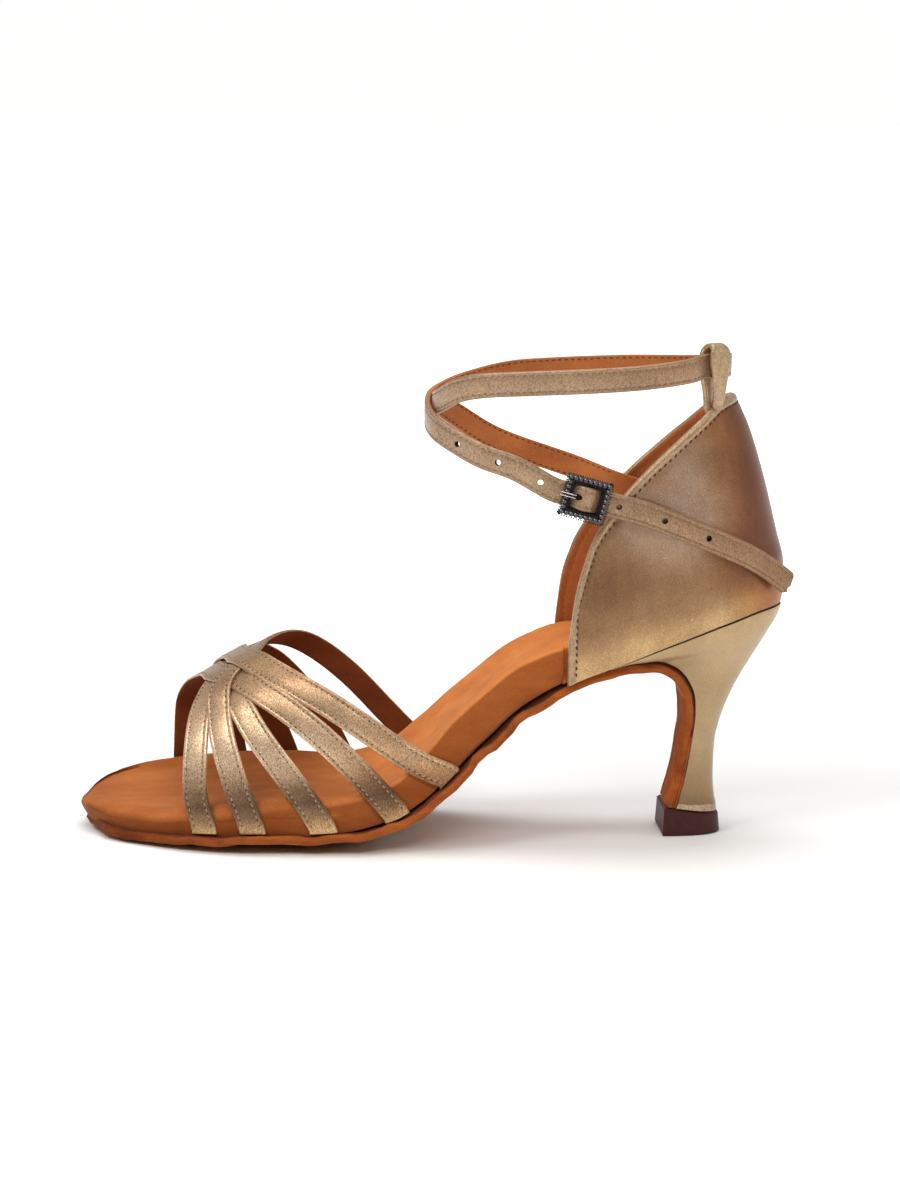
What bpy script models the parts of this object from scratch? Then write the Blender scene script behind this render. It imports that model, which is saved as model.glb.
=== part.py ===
"""Ballroom dance sandal for the left foot, with a flared heel and an ankle strap.

The toe points to -X, the outer side of the foot is -Y and the floor is z = 0.
Heights, widths and places in the tables are shares of the named sizes above them.
"""
import math

import bmesh
import bpy
from mathutils import Vector

# Sole and last
LENGTH = 0.225              # toe to heel seat, along the floor
BALL_WIDTH = 0.0745         # widest part of the outsole
SEAT_HEIGHT = 0.0755        # floor to the underside of the insole at the very back
SOLE_THICKNESS = 0.0032
SIDE_HEIGHT = 0.0150        # tallest side of the insole, in the forefoot
RIM_ROUNDING = 0.0022       # rounding of the insole's upper edge
LEDGE = 0.0026              # outsole left showing outside the insole
TOE_LEDGE = 0.0010
GAP = 0.0003                # between two pieces that touch

# Heel
TIP_LENGTH = 0.0188
TIP_WIDTH = 0.0200
TIP_THICKNESS = 0.0078
TIP_SLANT = 0.0014          # the wear piece is this much thicker in front, and thinner behind
TIP_FLARE = 0.0007          # how far its lower edge stands out
TIP_CHAMFER = 0.0005
TIP_SQUARENESS = 2.6

# Counter
COUNTER_HEIGHT = 0.0672     # heel seat to the top line, at the back
COUNTER_WALL = 0.0018
COUNTER_FRONT = 0.686       # share of the length where the counter starts
INNER_DROP = 0.0042         # the top line is this much lower on the inner side
INNER_DROP_RUN = 0.0200     # height over which it drops, above the front corner

# Vamp straps
INSTEP_HEIGHT = 0.0600      # floor to the inside of the straps where they meet
STRAP_WIDTH = 0.0083
STRAP_THICKNESS = 0.0015
STRAP_LIFT = 0.0011         # how far a strap rises where it passes over another
STRAP_STAGGER = 0.00015     # each strap lies this much further out than the last one
STRAP_CLEARANCE = 0.0009    # from the strap to the insole's side
STRAP_FOOT_GAP = 0.0008     # from the strap's cut end to the outsole

# Ankle strap, its loop and buckle
RING_LENGTH = 0.0928        # inside the strap's rings, front to back, at the middle of the strap
RING_WIDTH = 0.0574
RING_FRONT = 0.0950         # from the ring's front to the counter's top line at the back
RING_SQUARENESS = 2.3
BAND_WIDTH = 0.0077
BAND_THICKNESS = 0.0018
HOLE_DIAMETER = 0.0019
HOLE_PITCH = 0.0145
HOLE_COUNT = 7
ANCHOR_LENGTH = 0.0100      # of the strap sewn inside the counter
TAIL_LENGTH = 0.0555        # of the strap past the counter's top line
LOOP_WIDTH = 0.0080
LOOP_THICKNESS = 0.0014
LOOP_ROOM = 0.0012          # above the strap, inside the loop
LOOP_EASE = 0.0006          # slack between the loop and what it is bent round
LOOP_OVERLAP = 0.0035       # how far its legs reach down the counter
LOOP_STATION = 0.945        # share of the length where the loop stands on the counter
BUCKLE_LENGTH = 0.0152
BUCKLE_HEIGHT = 0.0140
BUCKLE_BORDER = 0.0028
BUCKLE_THICKNESS = 0.0020
BUCKLE_TILT = math.radians(15.5)
BUCKLE_REACH = 0.0133       # from the counter's top line to the buckle's bar
BAR_RADIUS = 0.0007
PRONG_RADIUS = 0.0005
TAB_WIDTH = 0.0052
TAB_THICKNESS = 0.0009
TAB_OVERLAP = 0.0040        # of the tab sewn on the counter
TAB_EASE = 0.0002           # slack between the tab and the strap over it

# How finely the surfaces are divided
SOLE_STATIONS = 44
INSOLE_STATIONS = 36
TONGUE_STEPS = 22
HEEL_ROWS = 16
HALF_ROUND = 16             # points round the heel and its wear piece
COUNTER_COLUMNS = 22        # from the front edge to the back, on each side
COUNTER_LEVELS = 9
STRAP_STEPS = 34
BAND_SPACING = 0.0031


class Table:
    """Hand-chosen rows with named columns, read on a smooth curve through them."""

    def __init__(self, columns, rows):
        names = columns.split()
        self.columns = {name: [row[i] for row in rows] for i, name in enumerate(names)}
        self.first = self.columns[names[0]]

    def read(self, name, at, keys=None):
        keys = keys or self.first
        values = self.columns[name]
        if at <= keys[0]:
            return values[0]
        if at >= keys[-1]:
            return values[-1]
        k = max(i for i in range(len(keys) - 1) if keys[i] <= at)
        step = keys[k + 1] - keys[k]
        t = (at - keys[k]) / step
        rise = values[k + 1] - values[k]
        start = slope_at(keys, values, k) * step
        end = slope_at(keys, values, k + 1) * step
        bend = t * (1 - t)
        return values[k] + rise * t + bend * ((start - rise) * (1 - t) - (end - rise) * t)


def slope_at(keys, values, k):
    """Slope of a monotone curve at one of its points."""
    def chord(i):
        return (values[i + 1] - values[i]) / (keys[i + 1] - keys[i])
    if k == 0:
        return chord(0)
    if k == len(keys) - 1:
        return chord(k - 1)
    before, after = chord(k - 1), chord(k)
    if before * after <= 0:
        return 0.0
    return 2 * before * after / (before + after)


# The last from toe to seat. half_width, sideways and lift are shares of BALL_WIDTH, rise of the
# seat's rise over the forefoot, near_rim and far_rim of SIDE_HEIGHT, dish of SIDE_HEIGHT, and
# underside is how wide the outsole is there as a share of the last.
LAST = Table(
    "along half_width sideways rise lift near_rim far_rim dish underside", (
        (0.00, 0.000, 0.175, 0.033, 0.004, 0.36, 0.38, 0.02, 1.00),
        (0.02, 0.185, 0.189, 0.016, 0.005, 0.42, 0.56, 0.06, 1.00),
        (0.05, 0.300, 0.197, 0.003, 0.008, 0.46, 0.71, 0.10, 1.00),
        (0.10, 0.394, 0.178, 0.000, 0.012, 0.50, 0.83, 0.16, 1.00),
        (0.20, 0.472, 0.121, 0.000, 0.034, 0.72, 0.97, 0.28, 1.00),
        (0.30, 0.500, 0.084, 0.000, 0.047, 0.92, 1.02, 0.32, 1.00),
        (0.38, 0.483, 0.054, 0.015, 0.046, 0.89, 0.95, 0.34, 1.00),
        (0.44, 0.443, 0.035, 0.068, 0.032, 0.88, 0.95, 0.36, 1.00),
        (0.49, 0.407, 0.019, 0.167, 0.021, 1.05, 1.08, 0.40, 1.00),
        (0.53, 0.379, 0.009, 0.285, 0.019, 1.18, 1.10, 0.40, 0.98),
        (0.57, 0.356, 0.003, 0.403, 0.016, 1.16, 1.06, 0.38, 0.90),
        (0.63, 0.334, -0.004, 0.572, 0.012, 1.00, 0.95, 0.34, 0.85),
        (0.70, 0.322, -0.007, 0.694, 0.006, 0.80, 0.78, 0.24, 0.85),
        (0.77, 0.322, -0.004, 0.776, 0.000, 0.46, 0.46, 0.10, 0.84),
        (0.84, 0.317, -0.001, 0.862, 0.000, 0.40, 0.40, 0.08, 0.80),
        (0.91, 0.279, 0.000, 0.940, 0.000, 0.38, 0.38, 0.08, 0.80),
        (0.97, 0.177, 0.000, 0.990, 0.000, 0.36, 0.36, 0.06, 0.80),
        (1.00, 0.000, 0.000, 1.000, 0.000, 0.36, 0.36, 0.04, 0.80),
    ))

# The outsole's walking face where it leaves the last and turns down the front of the heel.
# along is a share of LENGTH from the toe, height of SEAT_HEIGHT, half_width of BALL_WIDTH.
TONGUE = Table(
    "step along height half_width", (
        (0.0, 0.7500, 0.711, 0.272),
        (1.0, 0.7820, 0.735, 0.268),
        (2.0, 0.8110, 0.738, 0.256),
        (3.0, 0.8330, 0.712, 0.232),
        (4.0, 0.8480, 0.664, 0.194),
        (5.0, 0.8575, 0.596, 0.160),
        (6.0, 0.8590, 0.520, 0.138),
        (7.0, 0.8545, 0.400, 0.121),
        (8.0, 0.8475, 0.270, 0.119),
        (9.0, 0.8350, 0.129, 0.125),
    ))

# The heel's back line, from the seat to the wear piece, and the heel's half width there
HEEL = Table(
    "down along height half_width squareness", (
        (0.00, 1.0000, 0.996, 0.322, 2.5),
        (0.06, 0.9960, 0.965, 0.318, 2.5),
        (0.14, 0.9850, 0.900, 0.305, 2.4),
        (0.24, 0.9715, 0.828, 0.268, 2.3),
        (0.35, 0.9580, 0.760, 0.224, 2.2),
        (0.47, 0.9430, 0.685, 0.184, 2.2),
        (0.59, 0.9280, 0.596, 0.154, 2.2),
        (0.70, 0.9150, 0.490, 0.134, 2.2),
        (0.80, 0.9080, 0.390, 0.123, 2.2),
        (0.90, 0.9065, 0.250, 0.122, 2.3),
        (1.00, 0.9110, 0.100, 0.129, 2.4),
    ))

# The counter's back line. up is a share of COUNTER_HEIGHT, back how far it leans forward as a
# share of LENGTH, spread its width as a share of the seat's.
COUNTER_BACK = Table(
    "up back spread", (
        (0.00, 0.0000, 1.00),
        (0.08, 0.0040, 1.03),
        (0.20, 0.0020, 1.07),
        (0.32, -0.0070, 1.09),
        (0.54, -0.0235, 1.08),
        (0.70, -0.0375, 1.04),
        (0.84, -0.0520, 0.99),
        (1.00, -0.0740, 0.93),
    ))

# The counter's top line, seen from the side
TOP_LINE = Table(
    "along height", (
        (0.686, 1.04),
        (0.697, 1.13),
        (0.712, 1.25),
        (0.728, 1.34),
        (0.755, 1.47),
        (0.788, 1.58),
        (0.827, 1.69),
        (0.866, 1.79),
        (0.900, 1.865),
        (0.930, 1.890),
    ))

# Height of the foot's ridge under the straps, as a share of INSTEP_HEIGHT
RIDGE = Table(
    "along height", (
        (0.05, 0.42),
        (0.12, 0.66),
        (0.17, 0.75),
        (0.22, 0.865),
        (0.27, 0.965),
        (0.40, 1.22),
        (0.60, 1.58),
    ))
RIDGE_INWARD = 0.07         # the ridge lies this share of BALL_WIDTH towards the inner side
SIDE_FULLNESS = 0.50        # exponents of the foot's cross-section, 1 for an ellipse
CREST_FULLNESS = 0.92

# Each strap's middle line over the foot: degrees round it from the outer side, share of LENGTH,
# and its height above the foot in lifts. Strap e lies under the others, which are woven over it.
STRAP_COLUMNS = "angle along lifts"
STRAPS = {
    "a": ((0, 0.447, 0), (13, 0.397, 0), (27, 0.345, 0), (40, 0.302, 0), (58, 0.254, 0.3),
          (70, 0.232, 1), (78, 0.219, 1), (88, 0.199, 2), (98, 0.176, 1), (114, 0.157, 0),
          (135, 0.147, 0), (180, 0.142, 0)),
    "b": ((0, 0.520, 0), (19, 0.435, 0), (35, 0.366, 0), (50, 0.313, 0), (66, 0.272, 0.3),
          (76, 0.253, 1.3), (85, 0.240, 2), (95, 0.221, 1), (104, 0.209, 1), (118, 0.200, 0),
          (140, 0.202, 0), (180, 0.222, 0)),
    "c": ((0, 0.180, 0), (17, 0.166, 0), (45, 0.169, 0), (70, 0.176, 0.3), (82, 0.187, 1),
          (88, 0.200, 1), (95, 0.221, 2), (104, 0.240, 1), (116, 0.257, 0), (137, 0.293, 0),
          (160, 0.344, 0), (180, 0.388, 0)),
    "d": ((0, 0.247, 0), (18, 0.222, 0), (42, 0.204, 0), (60, 0.200, 0.3), (70, 0.206, 1.2),
          (78, 0.221, 2), (86, 0.243, 1), (97, 0.272, 0.6), (117, 0.301, 0), (131, 0.330, 0),
          (155, 0.416, 0), (180, 0.500, 0)),
    "e": ((0, 0.345, 0), (13, 0.307, 0), (22, 0.282, 0), (38, 0.249, 0), (58, 0.226, 0),
          (75, 0.217, 0), (90, 0.213, 0), (110, 0.220, 0), (130, 0.235, 0), (153, 0.265, 0),
          (180, 0.305, 0)),
}

# The ankle strap round the ankle: degrees from the back over the inner side, height as a share of
# COUNTER_HEIGHT above the seat, and how far out in strap thicknesses. None is inside the loop.
RING = (
    (90, 0.595, 0), (112, 0.699, 0), (126, 0.766, 0), (143, 0.856, 0), (157, 0.909, 0), (172, 0.939, 0),
    (185, 0.952, 0), (197, 0.979, 0), (213, 1.030, 0), (229, 1.058, 0), (249, 1.073, 0), (270, 1.086, 0),
    (288, 1.101, 0), (308, 1.123, 0), (330, 1.140, None), (350, 1.135, 0), (374, 1.112, 0), (397, 1.092, 0),
    (432, 1.082, 0), (458, 1.067, 0), (475, 1.052, 0), (496, 1.007, 0.7), (510, 0.970, 1.35),
    (525, 0.939, 1.35), (540, 0.903, 1.35), (552, 0.869, 1.35), (565, 0.832, 1.2), (587, 0.744, 0.4),
    (604, 0.682, 0),
)
RING_INWARD = -0.001        # the ring's middle from the shoe's, towards the outer side
ANCHOR_PLACE = 0.266        # where the strap leaves the counter, a share of LENGTH from its middle
ANCHOR_LEVELS = (0.485, 0.535)
BUCKLE_CONTACT = 0.263      # where tab and strap meet the counter, a share of LENGTH
BUCKLE_LEVEL = 0.492
# The tail on the counter, in shares of its length: along, down, and how far it has come down
# from the tab to the counter
TAIL = ((0.08, 0.02, 0.0), (0.26, 0.085, 0.7), (0.46, 0.17, 1.0), (0.64, 0.255, 1.0), (0.80, 0.34, 1.0))
TAIL_FREE = 0.19            # share of the tail that stands straight off the heel
HOLES_BEFORE = 4            # holes in front of the buckle, the prong's own among them
PRONG_HOLE = 0.0026         # from the bar to the hole that the prong passes
STRAP_RUN_IN = 0.0030       # the strap runs straight this far in front of the buckle
PRONG_HOLE_STRETCH = 1.6    # that hole's length as a share of its width
FOLD_CREST = 0.0011         # either side of the bar where the strap is highest
LOOP_SHOULDER = 0.0030      # above the counter's edge, where the loop's legs are upright

UNDERSIDE_SHARES = (-1, -0.82, -0.66, -0.5, 0.5, 0.66, 0.82, 1)


def place(along):
    return LENGTH * (along - 0.5)


def base(along):
    """Height of the insole's underside on the last's middle line."""
    forefoot = SOLE_THICKNESS + GAP
    return forefoot + LAST.read("rise", along) * (SEAT_HEIGHT - forefoot)


def lift(along):
    """How much higher the insole's edge is than its middle."""
    return LAST.read("lift", along) * BALL_WIDTH


def edge_rise(along, out):
    """How much higher the last's underside is at a distance from its middle line."""
    share = abs(out) / max(half_width(along), GAP)
    return lift(along) * min(1.0, max(0.0, 2 * share - 1)) ** 1.5


def sideways(along):
    return LAST.read("sideways", along) * BALL_WIDTH


def half_width(along):
    """Half the last's width, on a curve that closes roundly at the toe and heel."""
    angles = [math.acos(1 - 2 * s) for s in LAST.first]
    angle = math.acos(1 - 2 * min(1.0, max(0.0, along)))
    return LAST.read("half_width", angle, angles) * BALL_WIDTH


def rounded_stations(count, first=0.0, last=1.0):
    """Shares of the length, closer together at the round toe and heel."""
    angles = [math.acos(1 - 2 * s) for s in (first, last)]
    turns = [angles[0] + (angles[1] - angles[0]) * i / (count - 1) for i in range(count)]
    return [(1 - math.cos(turn)) / 2 for turn in turns]


def mesh_object(name, build, material):
    """An object whose mesh a function fills, with its faces turned outwards."""
    mesh = bpy.data.meshes.new(name)
    shape = bmesh.new()
    build(shape)
    bmesh.ops.recalc_face_normals(shape, faces=shape.faces)
    shape.to_mesh(mesh)
    shape.free()
    mesh.materials.append(material)
    piece = bpy.data.objects.new(name, mesh)
    bpy.context.collection.objects.link(piece)
    return piece


def add_loft(shape, rings, closed=False):
    """Skin rings of equally many points, and close the two ends unless the loft runs round."""
    loops = [[shape.verts.new(point) for point in ring] for ring in rings]
    pairs = list(zip(loops, loops[1:]))
    if closed:
        pairs.append((loops[-1], loops[0]))
    count = len(loops[0])
    for one, other in pairs:
        for i in range(count):
            j = (i + 1) % count
            shape.faces.new((one[i], one[j], other[j], other[i]))
    if not closed:
        shape.faces.new(loops[0])
        shape.faces.new(loops[-1])


def loft_object(name, rings, material, closed=False):
    return mesh_object(name, lambda shape: add_loft(shape, rings, closed), material)


def material(name, colour, roughness, metallic=0.0):
    made = bpy.data.materials.new(name)
    made.use_nodes = True
    shader = made.node_tree.nodes["Principled BSDF"]
    shader.inputs["Base Color"].default_value = (*colour, 1.0)
    shader.inputs["Roughness"].default_value = roughness
    shader.inputs["Metallic"].default_value = metallic
    return made


def insole_ring(along):
    """Cross-section of the cupped insole, from its outer underside round to the inner side."""
    in_counter = along > COUNTER_FRONT
    inset = COUNTER_WALL + 2 * GAP if in_counter else LEDGE
    widest = LAST.read("half_width", COUNTER_FRONT) if in_counter else 0.5
    half = half_width(along) * (1 - inset / (widest * BALL_WIDTH))
    x = place(along) + TOE_LEDGE * (1 - along) - (COUNTER_WALL + 2 * GAP) * along
    middle = sideways(along)
    bottom = base(along)
    foot = half * LAST.read("underside", along) if not in_counter else half
    raised = edge_rise(along, foot)
    rims = [bottom + LAST.read(side, along) * SIDE_HEIGHT for side in ("near_rim", "far_rim")]
    rounding = min(RIM_ROUNDING, half / 3)
    dish = LAST.read("dish", along) * SIDE_HEIGHT
    ring = []
    for side, rim in zip((-1, 1), rims):
        edge = [(foot, bottom + raised),
                (half, bottom + raised + 0.35 * (rim - bottom - raised)),
                (half, rim - rounding),
                (half - 0.3 * rounding, rim - 0.3 * rounding),
                (half - rounding, rim)]
        points = [(middle + side * y, z) for y, z in edge]
        ring.append(points if side < 0 else points[::-1])
    floor_points = [(middle + share * foot, bottom + edge_rise(along, share * foot))
                    for share in UNDERSIDE_SHARES[-2:0:-1]]
    level = sum(rims) / 2 - dish
    tilt = (rims[1] - rims[0]) / 2
    bowl = [(middle + share * half, level + tilt * share + dish * abs(share) ** 2.5)
            for share in (-0.65, -0.3, 0.0, 0.3, 0.65)]
    ring = ring[0] + bowl + ring[1] + floor_points
    return [Vector((x, y, z)) for y, z in ring]


def make_insole(paint):
    stations = rounded_stations(INSOLE_STATIONS, 0.001, 0.999)
    front = [s for s in stations if s < COUNTER_FRONT - 0.004] + [COUNTER_FRONT - 0.0005]
    back = [COUNTER_FRONT + 0.0005] + [s for s in stations if s > COUNTER_FRONT + 0.004]
    return loft_object("insole", [insole_ring(s) for s in front + back], paint)


def outsole_line():
    """Stations of the outsole's walking face: x, height, half width, sideways, share of the last."""
    line = []
    for along in rounded_stations(SOLE_STATIONS, 0.0006, 0.9994):
        if along > TONGUE.columns["along"][0] - 0.02:
            break
        step = 0.001
        slope = (base(along + step) - base(max(0.0, along - step))) / (LENGTH * 2 * step)
        slope = slope if along > 0.1 else slope / 2
        drop = (SOLE_THICKNESS + GAP) / math.hypot(1, slope)
        line.append((place(along) + drop * slope, base(along) - drop,
                     half_width(along) * LAST.read("underside", along), sideways(along), along))
    middle = line[-1][3]
    for i in range(TONGUE_STEPS + 1):
        at = (len(TONGUE.first) - 1) * i / TONGUE_STEPS
        line.append((place(TONGUE.read("along", at)), TONGUE.read("height", at) * SEAT_HEIGHT,
                     TONGUE.read("half_width", at) * BALL_WIDTH, middle * max(0, 1 - at / 2), 1.0))
    return line


def line_normals(line):
    """Unit direction from the walking face into the sole, at each station."""
    normals = []
    for i in range(len(line)):
        before, after = line[max(0, i - 1)], line[min(len(line) - 1, i + 1)]
        run = Vector((after[0] - before[0], 0, after[1] - before[1])).normalized()
        normals.append(Vector((-run.z, 0, run.x)))
    return normals


def tip_top(x):
    """Height of the wear piece's slanting top, where the heel and the outsole's tongue end."""
    share = (x - place(TONGUE.columns["along"][-1])) / TIP_LENGTH
    return TIP_THICKNESS + TIP_SLANT * (1 - 2 * share)


def make_outsole(paint):
    line = outsole_line()
    rings = []
    for (x, height, half, middle, along), inward in zip(line, line_normals(line)):
        def point(share, depth):
            rise = edge_rise(along, share * half)
            return Vector((x, middle + share * half, height + rise)) + inward * depth
        walking = [point(share, 0.0) for share in UNDERSIDE_SHARES]
        inside = [point(share, SOLE_THICKNESS) for share in UNDERSIDE_SHARES[::-1]]
        rings.append(walking + inside)
    for point in rings[-1]:
        point.z = tip_top(point.x) + GAP
    return loft_object("outsole", rings, paint)


def heel_front(down):
    """The heel's front line: the outsole tongue's back, from the wedge under the seat to the tip."""
    line = outsole_line()
    normals = line_normals(line)
    first = len(line) - TONGUE_STEPS - 1
    offset = SOLE_THICKNESS + GAP
    spots = [Vector((x, 0, height)) + normals[i + first] * offset
             for i, (x, height, *_) in enumerate(line[first:])]
    at = down * (len(spots) - 1)
    k = min(int(at), len(spots) - 2)
    return spots[k].lerp(spots[k + 1], at - k)


def make_heel(paint):
    rings = []
    turns = [math.pi * i / HALF_ROUND for i in range(HALF_ROUND + 1)]
    for i in range(HEEL_ROWS + 1):
        down = (i / HEEL_ROWS) ** 1.15
        front = heel_front(down)
        back = Vector((place(HEEL.read("along", down)), 0, HEEL.read("height", down) * SEAT_HEIGHT))
        half = HEEL.read("half_width", down) * BALL_WIDTH
        power = HEEL.read("squareness", down)
        if i == 0:
            back.z = base(1.0) - GAP
        ring = []
        for turn in turns:
            reach = math.sin(turn)
            spot = front.lerp(back, reach)
            width = half * (1 - reach ** power) ** (1 / power)
            if i == 0:
                along = spot.x / LENGTH + 0.5
                spot.z = base(along) - GAP
                width = half_width(along)
            if i == HEEL_ROWS:
                spot.z = tip_top(spot.x) + GAP
            spot.y = math.copysign(width, math.cos(turn))
            ring.append(spot)
        breast = [Vector((front.x, share * half, ring[0].z)) for share in (-0.5, 0.0, 0.5)]
        rings.append(ring + breast)
    return loft_object("heel", rings, paint)


def make_top_piece(paint):
    """The wear piece: a D with its straight side in front, slightly wider at the floor."""
    front = place(TONGUE.columns["along"][-1])
    levels = ((0.0, -TIP_CHAMFER), (TIP_CHAMFER, 0.0), (None, -TIP_FLARE))
    rings = []
    for height, grow in levels:
        ring = []
        half = TIP_WIDTH / 2 + grow
        start, reach = front - TIP_FLARE - grow, TIP_LENGTH + 2 * grow
        for i in range(HALF_ROUND + 1):
            turn = math.pi * i / HALF_ROUND
            depth = math.sin(turn)
            width = half * (1 - depth ** TIP_SQUARENESS) ** (1 / TIP_SQUARENESS)
            x = start + reach * depth
            ring.append(Vector((x, math.copysign(width, math.cos(turn)),
                                tip_top(x) if height is None else height)))
        rings.append(ring)
    return loft_object("top_piece", rings, paint)


def counter_point(along, side, height):
    """The counter's outer face: the seat's outline at this station, carried up to a height."""
    seat = base(along)
    up = min(1.0, max(0.0, (height - seat) / COUNTER_HEIGHT))
    to_back = (along - COUNTER_FRONT) / (1 - COUNTER_FRONT)
    lean = COUNTER_BACK.read("back", up) * LENGTH * to_back ** 1.5
    spread = 1 + (COUNTER_BACK.read("spread", up) - 1) * (1 - 0.3 * to_back)
    return Vector((place(along) + lean, sideways(along) + side * half_width(along) * spread, height))


def top_height(x, side):
    """The top line's height at a place along the shoe."""
    line = TOP_LINE.read("height", x / LENGTH + 0.5) * SEAT_HEIGHT
    if side < 0:
        return line
    above_corner = line - TOP_LINE.columns["height"][0] * SEAT_HEIGHT
    return line - INNER_DROP * min(1.0, above_corner / INNER_DROP_RUN)


def counter_top(along, side):
    """Height at which a column of the counter meets the top line."""
    low, high = base(along), SEAT_HEIGHT * 3
    for _ in range(40):
        middle = (low + high) / 2
        x = counter_point(along, 1, middle).x
        low, high = (middle, high) if middle < top_height(x, -1) else (low, middle)
    to_back = (along - COUNTER_FRONT) / (1 - COUNTER_FRONT)
    x = counter_point(along, 1, low).x
    return low - (top_height(x, -1) - top_height(x, side)) * (1 - to_back ** 6)


def counter_columns():
    """Stations round the counter, from its outer front edge to the inner one."""
    stations = []
    for i in range(COUNTER_COLUMNS):
        turn = math.pi / 2 * i / (COUNTER_COLUMNS - 1)
        stations.append(COUNTER_FRONT + (1 - COUNTER_FRONT) * math.sin(turn) ** 1.2)
    outer = [(s, -1) for s in stations]
    inner = [(s, 1) for s in stations[-2::-1]]
    return outer + inner


def make_counter(paint):
    grid = []
    for along, side in counter_columns():
        bottom, top = base(along), counter_top(along, side)
        heights = [bottom + (top - bottom) * k / COUNTER_LEVELS for k in range(COUNTER_LEVELS + 1)]
        grid.append([counter_point(along, side, height) for height in heights])
    rings = []
    for i, column in enumerate(grid):
        before, after = grid[max(0, i - 1)], grid[min(len(grid) - 1, i + 1)]
        inner = []
        for k, point in enumerate(column):
            round_heel = after[k] - before[k]
            upward = column[min(COUNTER_LEVELS, k + 1)] - column[max(0, k - 1)]
            inward = upward.cross(round_heel).normalized()
            inner.append(point + inward * COUNTER_WALL)
        inner[0].z = column[0].z
        rings.append(column + inner[::-1])
    return loft_object("counter", rings, paint)


def foot_point(along, angle):
    """The foot's surface in the forefoot: 0 at the outer side, 180 degrees at the inner side."""
    turn = math.radians(angle)
    cosine, sine = math.cos(turn), max(0.0, math.sin(turn))
    half = half_width(along) - LEDGE + STRAP_CLEARANCE
    foot = base(along) + edge_rise(along, half) + STRAP_FOOT_GAP
    ridge = RIDGE.read("height", along) * INSTEP_HEIGHT
    y = -math.copysign(half * abs(cosine) ** SIDE_FULLNESS, cosine)
    y += sideways(along) + RIDGE_INWARD * BALL_WIDTH * sine ** 2
    return Vector((place(along), y, foot + (ridge - foot) * sine ** CREST_FULLNESS))


def foot_frame(along, angle):
    """Steps along the shoe and round the foot, and the direction out of it."""
    step, turn = 0.002, 0.5
    forward = foot_point(along + step, angle) - foot_point(along - step, angle)
    low, high = max(0.0, angle - turn), min(180.0, angle + turn)
    round_foot = foot_point(along, high) - foot_point(along, low)
    return forward / (2 * step), round_foot / (high - low), forward.cross(round_foot).normalized()


def strap_rings(rows, layer):
    """A strap as rings across its width, so that both ends follow the outsole's edge."""
    middle = Table(STRAP_COLUMNS, rows)
    rings = []
    for i in range(STRAP_STEPS + 1):
        angle = 180.0 * i / STRAP_STEPS
        along = middle.read("along", angle)
        forward, round_foot, _ = foot_frame(along, angle)
        turn = 1.0
        low, high = max(0.0, angle - turn), min(180.0, angle + turn)
        drift = (middle.read("along", high) - middle.read("along", low)) / (high - low)
        heading = (forward * drift + round_foot).normalized()
        half = STRAP_WIDTH / 2 / forward.cross(heading).length
        raised = middle.read("lifts", angle) * STRAP_LIFT + layer * STRAP_STAGGER
        spots = [along + share * half for share in (-1, -0.35, 0.35, 1)]
        under, over = [], []
        for spot in spots:
            out = foot_frame(spot, angle)[2]
            point = foot_point(spot, angle)
            under.append(point + out * raised)
            over.append(point + out * (raised + STRAP_THICKNESS))
        rings.append(under + over[::-1])
    return rings


def as_cutter(piece):
    piece.hide_render = True
    piece.display_type = "WIRE"


def join(piece, other, operation="UNION"):
    """Add or cut another object with an exact Boolean."""
    as_cutter(other)
    change = piece.modifiers.new(other.name, "BOOLEAN")
    change.operation = operation
    change.solver = "EXACT"
    change.object = other


def make_strap(name, layer, paint):
    """One strap, in triangles, because its twisted faces aren't flat where it meets the others."""
    def build(shape):
        add_loft(shape, strap_rings(STRAPS[name], layer))
        bmesh.ops.triangulate(shape, faces=shape.faces)
    return mesh_object(f"strap_{name}", build, paint)


def make_vamp_straps(paint):
    vamp, *others = [make_strap(name, layer, paint) for layer, name in enumerate("eacbd")]
    vamp.name = "vamp_straps"
    for other in others:
        join(vamp, other)
    return vamp


def counter_frame(along, side, height):
    """A point on the counter's outer face and the direction out of it."""
    step, rise = 0.002, 0.001
    front = min(along, 1 - 2 * step)
    forward = counter_point(front + step, side, height) - counter_point(front - step, side, height)
    upward = counter_point(along, side, height + rise) - counter_point(along, side, height - rise)
    return counter_point(along, side, height), (forward.cross(upward) * -side).normalized()


def counter_at(x, height, side):
    """The counter's outer face at a place along the shoe and a height."""
    low, high = COUNTER_FRONT, 1.0
    for _ in range(40):
        middle = (low + high) / 2
        low, high = (middle, high) if counter_point(middle, side, height).x < x else (low, middle)
    return counter_frame(low, side, height)


def curve_through(points, spacing):
    """Points and outward directions on a smooth curve, and how far from its start each one lies."""
    padded = [points[0]] + points + [points[-1]]
    route, travelled = [points[0]], [0.0]
    for k in range(1, len(padded) - 2):
        before, start, end, after = padded[k - 1:k + 3]
        steps = max(1, round((end[0] - start[0]).length / spacing))
        for i in range(1, steps + 1):
            t = i / steps
            spot, out = (
                start[n] + 0.5 * t * ((end[n] - before[n]) + t * (
                    2 * before[n] - 5 * start[n] + 4 * end[n] - after[n]
                    + t * (3 * (start[n] - end[n]) + after[n] - before[n])))
                for n in (0, 1))
            travelled.append(travelled[-1] + (spot - route[-1][0]).length)
            route.append((spot, out.normalized()))
    return route, travelled


def on_route(route, travelled, distance):
    """Point, outward direction and run of a route at a distance from its start."""
    k = max(i for i in range(len(route) - 1) if travelled[i] <= distance)
    share = (distance - travelled[k]) / (travelled[k + 1] - travelled[k])
    (one, out), (other, next_out) = route[k], route[k + 1]
    return one.lerp(other, share), out.lerp(next_out, share).normalized(), (other - one).normalized()


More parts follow.
